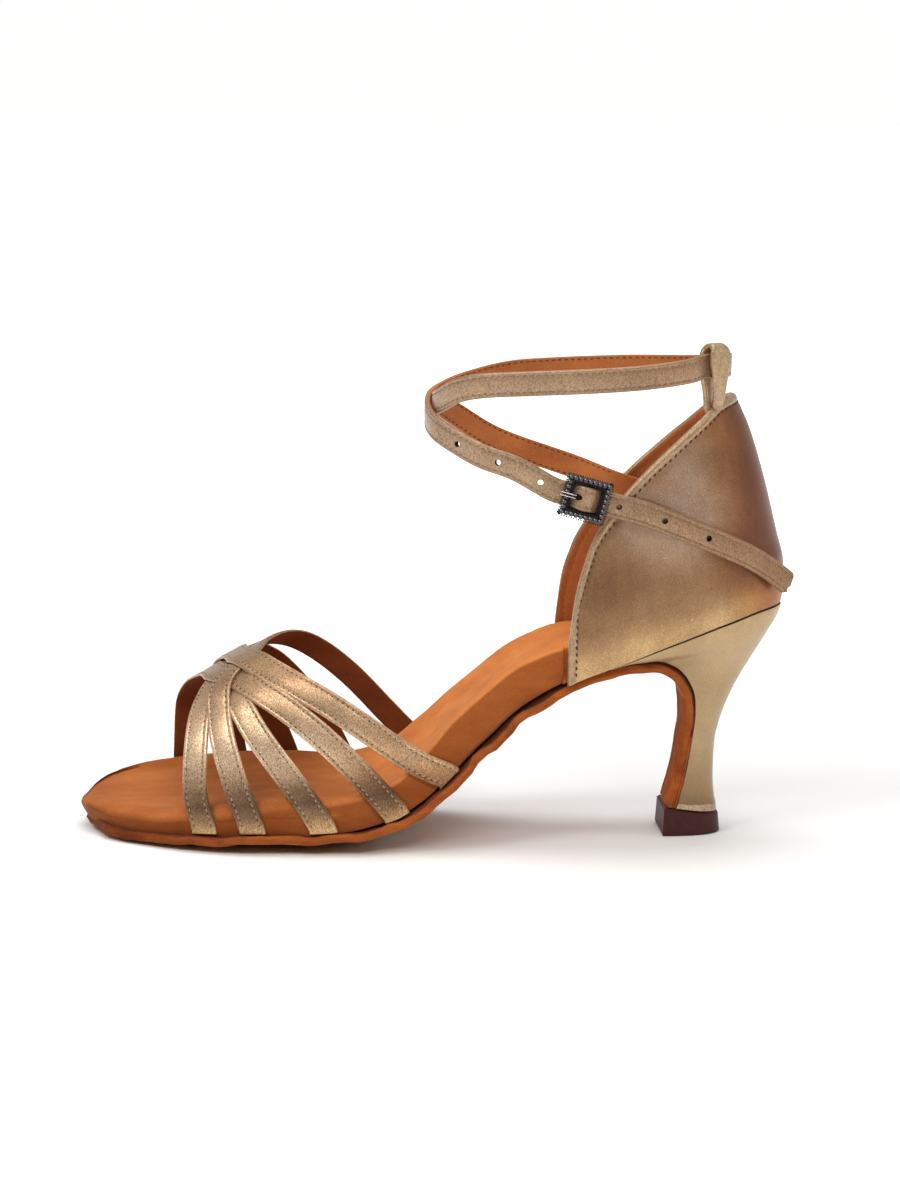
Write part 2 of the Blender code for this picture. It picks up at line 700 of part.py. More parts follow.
def band_rings(route, width, thickness):
    """Rectangles across a route of points and outward directions."""
    rings = []
    for i, (point, out) in enumerate(route):
        before, after = route[max(0, i - 1)][0], route[min(len(route) - 1, i + 1)][0]
        run = (after - before).normalized()
        out = (out - run * out.dot(run)).normalized()
        across = run.cross(out) * width / 2
        depth = out * thickness / 2
        rings.append([point + across + depth, point - across + depth,
                      point - across - depth, point + across - depth])
    return rings


def loop_seat():
    """Middle of the counter's wall under the loop, the direction out of it, and its height."""
    height = counter_top(LOOP_STATION, -1)
    point, out = counter_frame(LOOP_STATION, -1, height)
    return point - out * COUNTER_WALL / 2, Vector((out.x, out.y, 0)).normalized(), height


def ring_point(turn, height, outward):
    """A point of the strap's ring round the ankle, turning from the back over the inner side."""
    angle = math.radians(turn)
    power = 2 / RING_SQUARENESS
    x_share = math.copysign(abs(math.cos(angle)) ** power, math.cos(angle))
    y_share = math.copysign(abs(math.sin(angle)) ** power, math.sin(angle))
    back = counter_point(1.0, 1, counter_top(1.0, -1)).x
    middle = Vector((back - RING_FRONT + RING_LENGTH / 2, RING_INWARD, 0))
    out = Vector((math.cos(angle) / RING_LENGTH, math.sin(angle) / RING_WIDTH, 0)).normalized()
    point = middle + Vector((x_share * RING_LENGTH / 2, y_share * RING_WIDTH / 2, 0))
    point.z = SEAT_HEIGHT + height * COUNTER_HEIGHT
    return point + out * (outward or 0) * BAND_THICKNESS, out


class Buckle:
    """The buckle's place, and the depths at which strap and tab pass its bars."""

    def __init__(self):
        x = BUCKLE_CONTACT * LENGTH
        height = SEAT_HEIGHT + BUCKLE_LEVEL * COUNTER_HEIGHT
        touch, out = counter_at(x, height, -1)
        self.out = Vector((out.x, out.y, 0)).normalized()
        level_run = Vector((-self.out.y, self.out.x, 0))
        self.run = level_run * math.cos(BUCKLE_TILT) - Vector((0, 0, math.sin(BUCKLE_TILT)))
        self.up = self.out.cross(self.run)
        self.strap_under = -(BUCKLE_THICKNESS / 2 + 1.5 * GAP + BAND_THICKNESS / 2)
        self.tab = self.strap_under - BAND_THICKNESS / 2 - GAP - TAB_EASE - TAB_THICKNESS / 2
        self.fold = BAR_RADIUS + GAP + TAB_THICKNESS / 2
        self.bar = self.tab + self.fold
        self.strap_over = self.bar + self.fold + (TAB_THICKNESS + BAND_THICKNESS) / 2 + GAP
        depth = -self.tab + TAB_THICKNESS / 2 + GAP
        self.origin = touch + self.out * depth - self.run * BUCKLE_REACH

    def at(self, along, depth, across=0.0):
        return self.origin + self.run * along + self.out * depth + self.up * across


def band_route(buckle):
    """The ankle strap's middle line: sewn inside the counter, once and a half round, and its tail."""
    points = []
    inside = COUNTER_WALL + 3 * GAP + BAND_THICKNESS / 2
    for back, height in ((ANCHOR_LENGTH, ANCHOR_LEVELS[0]), (0.0, ANCHOR_LEVELS[1])):
        point, out = counter_at(ANCHOR_PLACE * LENGTH + back, SEAT_HEIGHT + height * COUNTER_HEIGHT, 1)
        points.append((point - out * inside, out))
    seat, loop_out, _ = loop_seat()
    through = Vector((-loop_out.y, loop_out.x, 0)) * LOOP_WIDTH / 2
    for turn, height, outward in RING:
        point, out = ring_point(turn, height, outward)
        if outward is None:
            middle = Vector((seat.x, seat.y, point.z))
            points += [(middle + through * share, loop_out) for share in (-1.1, 0, 1.1)]
        else:
            points.append((point, out))
    half = BUCKLE_LENGTH / 2
    inside_border = half - BUCKLE_BORDER * 1.1
    under_border = half - BUCKLE_BORDER / 2
    for along, depth in (
            (-half - STRAP_RUN_IN, buckle.strap_under), (-under_border, buckle.strap_under),
            (-inside_border, buckle.strap_under), (-FOLD_CREST, buckle.strap_over),
            (FOLD_CREST, buckle.strap_over), (inside_border, buckle.strap_under),
            (under_border, buckle.strap_under)):
        points.append((buckle.at(along, depth), buckle.out))
    resting = BAND_THICKNESS / 2 + GAP
    over_tab = resting + TAB_THICKNESS + GAP + TAB_EASE
    start = buckle.at(BUCKLE_REACH, 0.0)
    for share, drop, offset in TAIL:
        x = start.x + share * TAIL_LENGTH
        point, out = counter_at(x, start.z - drop * TAIL_LENGTH, -1)
        points.append((point + out * (over_tab + (resting - over_tab) * offset), out))
    last, out = points[-1]
    straight = (last - points[-2][0]).normalized()
    points.append((last + straight * TAIL_LENGTH * TAIL_FREE, out))
    return curve_through(points, BAND_SPACING)


def punch(centre, direction, length, along, stretch=1.0, sides=10):
    """A cutter for one hole, drawn out along the strap where a prong passes."""
    across = direction.cross(along).normalized()
    rings = []
    for end in (-1, 1):
        ring = []
        for i in range(sides):
            angle = 2 * math.pi * i / sides
            offset = along * math.cos(angle) * stretch + across * math.sin(angle)
            ring.append(centre + direction * end * length / 2 + offset * HOLE_DIAMETER / 2)
        rings.append(ring)
    return rings


def make_ankle_strap(buckle, paint):
    route, travelled = band_route(buckle)
    strap = loft_object("ankle_strap", band_rings(route, BAND_WIDTH, BAND_THICKNESS), paint)
    crest = buckle.at(0, buckle.strap_over)
    bar = travelled[min(range(len(route)), key=lambda i: (route[i][0] - crest).length)]
    cutter = bpy.data.meshes.new("holes")
    shape = bmesh.new()
    hole = buckle.at(-PRONG_HOLE, (buckle.strap_over + buckle.strap_under) / 2)
    add_loft(shape, punch(hole, buckle.out, 4 * BAND_THICKNESS, buckle.run, PRONG_HOLE_STRETCH))
    for k in range(HOLES_BEFORE - HOLE_COUNT, HOLES_BEFORE):
        if k != 0:
            spot, out, run = on_route(route, travelled, bar - k * HOLE_PITCH)
            add_loft(shape, punch(spot, out, 2 * BAND_THICKNESS, run))
    bmesh.ops.recalc_face_normals(shape, faces=shape.faces)
    shape.to_mesh(cutter)
    shape.free()
    holes = bpy.data.objects.new("holes", cutter)
    bpy.context.collection.objects.link(holes)
    join(strap, holes, "DIFFERENCE")
    return strap


def make_strap_loop(paint):
    """A band bent over the ankle strap, with a leg on each face of the counter."""
    seat, out, height = loop_seat()
    along = Vector((-out.y, out.x, 0))
    half = COUNTER_WALL / 2 + GAP + LOOP_THICKNESS / 2
    room = BAND_THICKNESS / 2 + GAP + LOOP_EASE + LOOP_THICKNESS / 2
    ring_height = next(row[1] for row in RING if row[2] is None)
    top = SEAT_HEIGHT + ring_height * COUNTER_HEIGHT + BAND_WIDTH / 2 + LOOP_ROOM
    spots = []
    for side in (-1, 1):
        leg = []
        for down in (LOOP_OVERLAP, LOOP_OVERLAP / 2, 0.0):
            face, face_out = counter_frame(LOOP_STATION, -1, height - down)
            depth = half + (LOOP_EASE if side < 0 else 0.0)
            leg.append(face - face_out * (COUNTER_WALL / 2 - side * depth))
        shoulder = Vector((seat.x, seat.y, height + LOOP_SHOULDER)) + out * room * side
        leg += [shoulder, Vector((seat.x, seat.y, top - room)) + out * room * side]
        spots.append(leg)
    crown = Vector((seat.x, seat.y, top - room))
    arch = []
    for degrees in range(30, 180, 30):
        turn = math.radians(degrees)
        arch.append(crown - out * room * math.cos(turn) + Vector((0, 0, room * math.sin(turn))))
    line = spots[0] + arch + spots[1][::-1]
    rings = []
    for i, spot in enumerate(line):
        run = (line[min(len(line) - 1, i + 1)] - line[max(0, i - 1)]).normalized()
        normal = along.cross(run).normalized() * LOOP_THICKNESS / 2
        across = along * LOOP_WIDTH / 2
        rings.append([spot + across + normal, spot - across + normal,
                      spot - across - normal, spot + across - normal])
    return loft_object("strap_loop", rings, paint)


def tube_rings(line, normals, radius, sides=8):
    """Round rings along a plane line, whose plane has this normal."""
    rings = []
    for i, spot in enumerate(line):
        run = (line[min(len(line) - 1, i + 1)] - line[max(0, i - 1)]).normalized()
        side = normals.cross(run).normalized()
        rings.append([spot + (side * math.cos(2 * math.pi * k / sides)
                              + normals * math.sin(2 * math.pi * k / sides)) * radius
                      for k in range(sides)])
    return rings


def make_buckle_frame(buckle, paint):
    """A square ring with eased edges, and a bent bar behind it."""
    ease = BUCKLE_THICKNESS / 5
    profile = ((0, -1, 0), (0, 1, -1), (ease, 1, 0), (BUCKLE_BORDER - ease, 1, 0),
               (BUCKLE_BORDER, 1, -1), (BUCKLE_BORDER, -1, 0))
    rings = []
    for along, across in ((-1, -1), (1, -1), (1, 1), (-1, 1)):
        ring = []
        for inset, face, eased in profile:
            depth = face * BUCKLE_THICKNESS / 2 + eased * ease
            ring.append(buckle.at(along * (BUCKLE_LENGTH / 2 - inset), depth,
                                  across * (BUCKLE_HEIGHT / 2 - inset)))
        rings.append(ring)
    frame = loft_object("buckle_frame", rings, paint, closed=True)
    end = BUCKLE_HEIGHT / 2 - BUCKLE_BORDER / 2
    bend = BAR_RADIUS
    line = [buckle.at(0, depth, across) for depth, across in (
        (-BUCKLE_THICKNESS / 4, end), (buckle.bar + bend, end), (buckle.bar, end - bend),
        (buckle.bar, bend - end), (buckle.bar + bend, -end), (-BUCKLE_THICKNESS / 4, -end))]
    bar = loft_object("buckle_bar", tube_rings(line, buckle.run, BAR_RADIUS), paint)
    join(frame, bar)
    return frame


def make_prong(buckle, paint):
    """A bent wire: round the bar, up through the strap's hole and over the outer bar."""
    turn_radius = BAR_RADIUS + GAP + PRONG_RADIUS
    half = BUCKLE_LENGTH / 2
    over = BUCKLE_THICKNESS / 2 + GAP + PRONG_RADIUS
    line = []
    for degrees in range(20, -181, -40):
        turn = math.radians(degrees)
        line.append(buckle.at(turn_radius * math.cos(turn), buckle.bar + turn_radius * math.sin(turn)))
    middle = (buckle.strap_over + buckle.strap_under) / 2
    line += [buckle.at(along, depth) for along, depth in (
        (-PRONG_HOLE * 0.85, (buckle.bar + middle) / 2), (-PRONG_HOLE, middle),
        (-PRONG_HOLE * 1.25, over * 0.8), (-PRONG_HOLE * 1.7, over * 1.1),
        (BUCKLE_BORDER - half, over), (-half - BUCKLE_BORDER * 0.2, over))]
    return loft_object("buckle_prong", tube_rings(line, buckle.up, PRONG_RADIUS), paint)


def make_tab(buckle, paint):
    """The tab: sewn on the counter, folded round the buckle's bar, with a slot for the prong."""
    points = [buckle.at(0.0008, buckle.bar + buckle.fold)]
    for angle in range(90, 271, 30):
        turn = math.radians(angle)
        points.append(buckle.at(buckle.fold * math.cos(turn), buckle.bar + buckle.fold * math.sin(turn)))
    points.append(buckle.at(BUCKLE_REACH * 0.55, buckle.tab))
    for share in (0.0, 1.0):
        spot = buckle.at(BUCKLE_REACH + share * TAB_OVERLAP, buckle.tab)
        point, out = counter_at(spot.x, spot.z, -1)
        points.append(point + out * (GAP + TAB_THICKNESS / 2))
    rings = []
    for i, spot in enumerate(points):
        run = (points[min(len(points) - 1, i + 1)] - points[max(0, i - 1)]).normalized()
        depth = buckle.up.cross(run).normalized() * TAB_THICKNESS / 2
        across = buckle.up * TAB_WIDTH / 2
        rings.append([spot + across + depth, spot - across + depth,
                      spot - across - depth, spot + across - depth])
    tab = loft_object("buckle_tab", rings, paint)
    reach = 2 * buckle.fold
    width = PRONG_RADIUS + 2 * GAP
    corners = [[buckle.at(along, buckle.bar + depth, across) for along, depth in (
        (-reach, -reach), (0.7 * reach, -reach), (0.7 * reach, reach), (-reach, reach))]
        for across in (-width, width)]
    join(tab, loft_object("tab_slot", corners, paint), "DIFFERENCE")
    return tab


def centre_on_floor(pieces):
    """Hang every piece on an empty that puts the middle of the whole shoe at the origin."""
    bpy.context.view_layer.update()
    graph = bpy.context.evaluated_depsgraph_get()
    corners = [Vector(corner) for piece in pieces for corner in piece.evaluated_get(graph).bound_box]
    low = [min(corner[i] for corner in corners) for i in range(3)]
    high = [max(corner[i] for corner in corners) for i in range(3)]
    carrier = bpy.data.objects.new("shoe", None)
    bpy.context.collection.objects.link(carrier)
    carrier.location = (-(low[0] + high[0]) / 2, -(low[1] + high[1]) / 2, -low[2])
    for piece in bpy.data.objects:
        if piece is not carrier:
            piece.parent = carrier


def main():
    for old in list(bpy.data.objects):
        bpy.data.objects.remove(old)
    satin = material("champagne_satin", (0.70, 0.55, 0.38), 0.32, 0.3)
    leather = material("metallic_leather", (0.58, 0.42, 0.28), 0.38, 0.3)
    suede = material("tan_suede", (0.46, 0.16, 0.045), 0.9)
    sole = material("rust_suede", (0.42, 0.12, 0.03), 0.85)
    rubber = material("maroon_rubber", (0.05, 0.012, 0.012), 0.5)
    stones = material("stone_set_metal", (0.12, 0.12, 0.12), 0.25, 0.9)
    bright = material("bright_metal", (0.75, 0.74, 0.72), 0.2, 1.0)
    buckle = Buckle()
    centre_on_floor([
        make_outsole(sole), make_insole(suede), make_heel(satin), make_top_piece(rubber),
        make_counter(satin), make_vamp_straps(satin), make_ankle_strap(buckle, leather),
        make_strap_loop(leather), make_tab(buckle, leather), make_buckle_frame(buckle, stones),
        make_prong(buckle, bright),
    ])


main()
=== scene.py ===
"""Looks for a ballroom dance sandal: satin straps and counter, suede sole, stone-set buckle.

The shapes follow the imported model's tables. Lengths are in metres, shares are of the named sizes.
"""
import math

import bmesh
import bpy
from mathutils import Matrix, Vector, noise


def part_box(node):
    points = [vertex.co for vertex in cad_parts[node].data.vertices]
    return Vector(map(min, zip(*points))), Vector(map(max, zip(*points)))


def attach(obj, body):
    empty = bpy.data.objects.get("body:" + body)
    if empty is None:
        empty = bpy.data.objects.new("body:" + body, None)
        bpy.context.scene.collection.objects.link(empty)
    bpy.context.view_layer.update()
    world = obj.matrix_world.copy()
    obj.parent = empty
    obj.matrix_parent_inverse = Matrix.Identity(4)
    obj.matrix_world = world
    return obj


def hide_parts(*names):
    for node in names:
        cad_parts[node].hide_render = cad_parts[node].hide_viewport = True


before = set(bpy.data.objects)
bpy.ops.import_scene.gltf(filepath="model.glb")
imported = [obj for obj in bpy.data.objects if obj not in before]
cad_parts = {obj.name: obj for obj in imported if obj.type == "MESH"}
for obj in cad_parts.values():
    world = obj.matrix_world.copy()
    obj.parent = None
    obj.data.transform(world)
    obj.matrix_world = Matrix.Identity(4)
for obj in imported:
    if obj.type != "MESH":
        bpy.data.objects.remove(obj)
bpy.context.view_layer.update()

# Sole and last
LENGTH = 0.225              # toe to heel seat, along the floor
BALL_WIDTH = 0.0745         # widest part of the outsole
SEAT_HEIGHT = 0.0755        # floor to the underside of the insole at the very back
SOLE_THICKNESS = 0.0032
SIDE_HEIGHT = 0.0150        # tallest side of the insole, in the forefoot
RIM_ROUNDING = 0.0022       # rounding of the insole's upper edge
LEDGE = 0.0026              # outsole left showing outside the insole
TOE_LEDGE = 0.0010
GAP = 0.0003                # between two pieces that touch

# Heel
TIP_LENGTH = 0.0188
TIP_WIDTH = 0.0200
TIP_THICKNESS = 0.0078
TIP_SLANT = 0.0014          # the wear piece is this much thicker in front, and thinner behind
TIP_FLARE = 0.0007          # how far its lower edge stands out
TIP_SQUARENESS = 2.6

# Counter
COUNTER_HEIGHT = 0.0672     # heel seat to the top line, at the back
COUNTER_WALL = 0.0018
COUNTER_FRONT = 0.686       # share of the length where the counter starts
INNER_DROP = 0.0042         # the top line is this much lower on the inner side
INNER_DROP_RUN = 0.0200     # height over which it drops, above the front corner

# Vamp straps
INSTEP_HEIGHT = 0.0600      # floor to the inside of the straps where they meet
STRAP_WIDTH = 0.0083
STRAP_LIFT = 0.00105        # how far a strap rises where it passes over another
STRAP_CLEARANCE = 0.0009    # from the strap to the insole's side
STRAP_FOOT_GAP = 0.0008     # from the strap's cut end to the outsole

# Ankle strap, its loop and buckle
RING_LENGTH = 0.0928        # inside the strap's rings, front to back, at the middle of the strap
RING_WIDTH = 0.0574
RING_FRONT = 0.0950         # from the ring's front to the counter's top line at the back
RING_SQUARENESS = 2.3
BAND_WIDTH = 0.0077
BAND_THICKNESS = 0.0018
HOLE_DIAMETER = 0.0019
HOLE_PITCH = 0.0145
HOLE_COUNT = 7
ANCHOR_LENGTH = 0.0100      # of the strap sewn inside the counter
TAIL_LENGTH = 0.0555        # of the strap past the counter's top line
LOOP_WIDTH = 0.0080
LOOP_THICKNESS = 0.0014
LOOP_ROOM = 0.0012          # above the strap, inside the loop
LOOP_EASE = 0.0006          # slack between the loop and what it is bent round
LOOP_STATION = 0.945        # share of the length where the loop stands on the counter
BUCKLE_LENGTH = 0.0152
BUCKLE_HEIGHT = 0.0140
BUCKLE_BORDER = 0.0028
BUCKLE_THICKNESS = 0.0020
BUCKLE_TILT = math.radians(15.5)
BUCKLE_REACH = 0.0133       # from the counter's top line to the buckle's bar
BAR_RADIUS = 0.0007
PRONG_RADIUS = 0.0005
TAB_WIDTH = 0.0052
TAB_THICKNESS = 0.0009
TAB_OVERLAP = 0.0040        # of the tab sewn on the counter
TAB_EASE = 0.0002           # slack between the tab and the strap over it

# How finely the surfaces are divided
SOLE_STATIONS = 130
HEEL_LINE_STATIONS = 44     # of the sole's line that the heel's front follows
TONGUE_STEPS = 60
INSOLE_STATIONS = 170
HEEL_ROWS = 70
HALF_ROUND = 40             # points round the heel
TIP_HALF_ROUND = 48
COUNTER_COLUMNS = 34        # from the binding to the back, on each side
COUNTER_ROWS = 26           # below the binding
STRAP_STEPS = 96
BAND_SPACING = 0.0013
LOOP_SPACING = 0.0008
SEARCH_STEPS = 40


class Table:
    """Listed rows with named columns, read on a smooth curve through them."""

    def __init__(self, columns, rows):
        names = columns.split()
        self.columns = {name: [row[i] for row in rows] for i, name in enumerate(names)}
        self.first = self.columns[names[0]]

    def read(self, name, at, keys=None):
        keys = keys or self.first
        values = self.columns[name]
        if at <= keys[0]:
            return values[0]
        if at >= keys[-1]:
            return values[-1]
        k = max(i for i in range(len(keys) - 1) if keys[i] <= at)
        step = keys[k + 1] - keys[k]
        t = (at - keys[k]) / step
        rise = values[k + 1] - values[k]
        start = slope_at(keys, values, k) * step
        end = slope_at(keys, values, k + 1) * step
        bend = t * (1 - t)
        return values[k] + rise * t + bend * ((start - rise) * (1 - t) - (end - rise) * t)


def slope_at(keys, values, k):
    """Slope of a monotone curve at one of its points."""
    def chord(i):
        return (values[i + 1] - values[i]) / (keys[i + 1] - keys[i])
    if k == 0:
        return chord(0)
    if k == len(keys) - 1:
        return chord(k - 1)
    before, after = chord(k - 1), chord(k)
    if before * after <= 0:
        return 0.0
    return 2 * before * after / (before + after)


# The last from toe to seat. half_width, sideways and lift are shares of BALL_WIDTH, rise of the
# seat's rise over the forefoot, near_rim and far_rim of SIDE_HEIGHT, dish of SIDE_HEIGHT, and
# underside is how wide the outsole is there as a share of the last.
LAST = Table(
    "along half_width sideways rise lift near_rim far_rim dish underside", (
        (0.00, 0.000, 0.175, 0.033, 0.004, 0.36, 0.38, 0.02, 1.00),
        (0.02, 0.185, 0.189, 0.016, 0.005, 0.42, 0.56, 0.06, 1.00),
        (0.05, 0.300, 0.197, 0.003, 0.008, 0.46, 0.71, 0.10, 1.00),
        (0.10, 0.394, 0.178, 0.000, 0.012, 0.50, 0.83, 0.16, 1.00),
        (0.20, 0.472, 0.121, 0.000, 0.034, 0.72, 0.97, 0.28, 1.00),
        (0.30, 0.500, 0.084, 0.000, 0.047, 0.92, 1.02, 0.32, 1.00),
        (0.38, 0.483, 0.054, 0.015, 0.046, 0.89, 0.95, 0.34, 1.00),
        (0.44, 0.443, 0.035, 0.068, 0.032, 0.88, 0.95, 0.36, 1.00),
        (0.49, 0.407, 0.019, 0.167, 0.021, 1.05, 1.08, 0.40, 1.00),
        (0.53, 0.379, 0.009, 0.285, 0.019, 1.18, 1.10, 0.40, 0.98),
        (0.57, 0.356, 0.003, 0.403, 0.016, 1.16, 1.06, 0.38, 0.90),
        (0.63, 0.334, -0.004, 0.572, 0.012, 1.00, 0.95, 0.34, 0.85),
        (0.70, 0.322, -0.007, 0.694, 0.006, 0.80, 0.78, 0.24, 0.85),
        (0.77, 0.322, -0.004, 0.776, 0.000, 0.46, 0.46, 0.10, 0.84),
        (0.84, 0.317, -0.001, 0.862, 0.000, 0.40, 0.40, 0.08, 0.80),
        (0.91, 0.279, 0.000, 0.940, 0.000, 0.38, 0.38, 0.08, 0.80),
        (0.97, 0.177, 0.000, 0.990, 0.000, 0.36, 0.36, 0.06, 0.80),
        (1.00, 0.000, 0.000, 1.000, 0.000, 0.36, 0.36, 0.04, 0.80),
    ))

# The outsole's walking face where it leaves the last and turns down the front of the heel.
# along is a share of LENGTH from the toe, height of SEAT_HEIGHT, half_width of BALL_WIDTH.
TONGUE = Table(
    "step along height half_width", (
        (0.0, 0.7500, 0.711, 0.272),
        (1.0, 0.7820, 0.735, 0.268),
        (2.0, 0.8110, 0.738, 0.256),
        (3.0, 0.8330, 0.712, 0.232),
        (4.0, 0.8480, 0.664, 0.194),
        (5.0, 0.8575, 0.596, 0.160),
        (6.0, 0.8590, 0.520, 0.138),
        (7.0, 0.8545, 0.400, 0.121),
        (8.0, 0.8475, 0.270, 0.119),
        (9.0, 0.8350, 0.129, 0.125),
    ))

# The heel's back line, from the seat to the wear piece, and the heel's half width there
HEEL = Table(
    "down along height half_width squareness", (
        (0.00, 1.0000, 0.996, 0.322, 2.5),
        (0.06, 0.9960, 0.965, 0.318, 2.5),
        (0.14, 0.9850, 0.900, 0.305, 2.4),
        (0.24, 0.9715, 0.828, 0.268, 2.3),
        (0.35, 0.9580, 0.760, 0.224, 2.2),
        (0.47, 0.9430, 0.685, 0.184, 2.2),
        (0.59, 0.9280, 0.596, 0.154, 2.2),
        (0.70, 0.9150, 0.490, 0.134, 2.2),
        (0.80, 0.9080, 0.390, 0.123, 2.2),
        (0.90, 0.9065, 0.250, 0.122, 2.3),
        (1.00, 0.9110, 0.100, 0.129, 2.4),
    ))

# The counter's back line. up is a share of COUNTER_HEIGHT, back how far it leans forward as a
# share of LENGTH, spread its width as a share of the seat's.
COUNTER_BACK = Table(
    "up back spread", (
        (0.00, 0.0000, 1.00),
        (0.08, 0.0040, 1.03),
        (0.20, 0.0020, 1.07),
        (0.32, -0.0070, 1.09),
        (0.54, -0.0235, 1.08),
        (0.70, -0.0375, 1.04),
        (0.84, -0.0520, 0.99),
        (1.00, -0.0740, 0.93),
    ))

# The counter's top line, seen from the side
TOP_LINE = Table(
    "along height", (
        (0.686, 1.04),
        (0.697, 1.13),
        (0.712, 1.25),
        (0.728, 1.34),
        (0.755, 1.47),
        (0.788, 1.58),
        (0.827, 1.69),
        (0.866, 1.79),
        (0.900, 1.865),
        (0.930, 1.890),
    ))

# Height of the foot's ridge under the straps, as a share of INSTEP_HEIGHT
RIDGE = Table(
    "along height", (
        (0.05, 0.42),
        (0.12, 0.66),
        (0.17, 0.75),
        (0.22, 0.865),
        (0.27, 0.965),
        (0.40, 1.22),
        (0.60, 1.58),
    ))
RIDGE_INWARD = 0.07         # the ridge lies this share of BALL_WIDTH towards the inner side
SIDE_FULLNESS = 0.50        # exponents of the foot's cross-section, 1 for an ellipse
CREST_FULLNESS = 0.92

# Each strap's middle line over the foot: degrees round it from the outer side, share of LENGTH,
# and its height above the foot in lifts. Strap e lies under the others, which are woven over it.
STRAP_COLUMNS = "angle along lifts"
STRAPS = {
    "a": ((0, 0.447, 0), (13, 0.397, 0), (27, 0.345, 0), (40, 0.302, 0), (58, 0.254, 0.4),
          (68, 0.235, 1), (78, 0.219, 1.1), (88, 0.199, 2), (98, 0.176, 1.2), (114, 0.157, 0),
          (135, 0.147, 0), (180, 0.142, 0)),
    "b": ((0, 0.520, 0), (19, 0.435, 0), (35, 0.366, 0), (50, 0.313, 0), (60, 0.287, 0.3),
          (68, 0.268, 1.3), (76, 0.253, 2.8), (86, 0.238, 3), (95, 0.221, 2.4), (104, 0.209, 1.8),
          (122, 0.200, 0), (140, 0.202, 0), (180, 0.222, 0)),
    "c": ((0, 0.180, 0), (17, 0.166, 0), (45, 0.169, 0), (76, 0.181, 0), (82, 0.187, 0.4),
          (88, 0.200, 1), (95, 0.221, 1.1), (104, 0.240, 1), (118, 0.260, 0), (137, 0.293, 0),
          (160, 0.344, 0), (180, 0.388, 0)),
    "d": ((0, 0.247, 0), (18, 0.222, 0), (42, 0.204, 0), (54, 0.201, 0.2), (68, 0.205, 1.9),
          (76, 0.217, 2.1), (84, 0.237, 2), (97, 0.268, 0.8), (112, 0.297, 0), (131, 0.340, 0),
          (155, 0.412, 0), (180, 0.500, 0)),
    "e": ((0, 0.345, 0), (13, 0.307, 0), (22, 0.282, 0), (38, 0.249, 0), (58, 0.226, 0),
          (75, 0.217, 0), (90, 0.213, 0), (110, 0.220, 0), (130, 0.235, 0), (153, 0.265, 0),
          (180, 0.305, 0)),
}

# The ankle strap round the ankle: degrees from the back over the inner side, height as a share of
# COUNTER_HEIGHT above the seat, and how far out in strap thicknesses. None is inside the loop.
RING = (
    (90, 0.595, 0), (112, 0.699, 0), (126, 0.766, 0), (143, 0.856, 0), (157, 0.909, 0),
    (172, 0.939, 0), (185, 0.952, 0), (197, 0.979, 0), (213, 1.030, 0), (229, 1.058, 0),
    (249, 1.073, 0), (270, 1.086, 0), (288, 1.101, 0), (308, 1.123, 0), (330, 1.140, None),
    (350, 1.135, 0), (374, 1.112, 0), (397, 1.092, 0), (432, 1.082, 0), (458, 1.067, 0),
    (475, 1.052, 0), (496, 1.007, 0.7), (510, 0.970, 1.35), (525, 0.939, 1.35), (540, 0.900, 1.35),
    (552, 0.862, 1.35), (565, 0.822, 1.2), (587, 0.738, 0.4), (604, 0.682, 0),
)
RING_INWARD = -0.001        # the ring's middle from the shoe's, towards the outer side
ANCHOR_PLACE = 0.266        # where the strap leaves the counter, a share of LENGTH from its middle
ANCHOR_LEVELS = (0.485, 0.535)
BUCKLE_CONTACT = 0.263      # where tab and strap meet the counter, a share of LENGTH
BUCKLE_LEVEL = 0.492
# The tail on the counter, in shares of its length: along, down, and how far it has come down
# from the tab to the counter
TAIL = ((0.08, 0.02, 0.0), (0.26, 0.085, 0.7), (0.46, 0.17, 1.0), (0.64, 0.255, 1.0),
        (0.80, 0.34, 1.0))
TAIL_FREE = 0.19            # share of the tail that stands straight off the heel
HOLES_BEFORE = 4            # holes in front of the buckle, the prong's own among them
PRONG_HOLE = 0.0026         # from the bar to the hole that the prong passes
STRAP_RUN_IN = 0.0030       # the strap runs straight this far in front of the buckle
PRONG_HOLE_STRETCH = 1.6    # that hole's length as a share of its width
FOLD_CREST = 0.0011         # either side of the bar where the strap is highest
LOOP_SHOULDER = 0.0030      # above the counter's edge, where the loop's legs are upright


def place(along):
    return LENGTH * (along - 0.5)


def base(along):
    """Height of the insole's underside on the last's middle line."""
    forefoot = SOLE_THICKNESS + GAP
    return forefoot + LAST.read("rise", along) * (SEAT_HEIGHT - forefoot)


def lift(along):
    """How much higher the insole's edge is than its middle."""
    return LAST.read("lift", along) * BALL_WIDTH


def edge_rise(along, out):
    """How much higher the last's underside is at a distance from its middle line."""
    share = abs(out) / max(half_width(along), GAP)
    return lift(along) * min(1.0, max(0.0, 2 * share - 1)) ** 1.5


def sideways(along):
    return LAST.read("sideways", along) * BALL_WIDTH


def half_width(along):
    """Half the last's width, on a curve that closes roundly at the toe and heel."""
    angles = [math.acos(1 - 2 * s) for s in LAST.first]
    angle = math.acos(1 - 2 * min(1.0, max(0.0, along)))
    return LAST.read("half_width", angle, angles) * BALL_WIDTH


def rounded_stations(count, first=0.0, last=1.0):
    """Shares of the length, closer together at the round toe and heel."""
    angles = [math.acos(1 - 2 * s) for s in (first, last)]
    turns = [angles[0] + (angles[1] - angles[0]) * i / (count - 1) for i in range(count)]
    return [(1 - math.cos(turn)) / 2 for turn in turns]


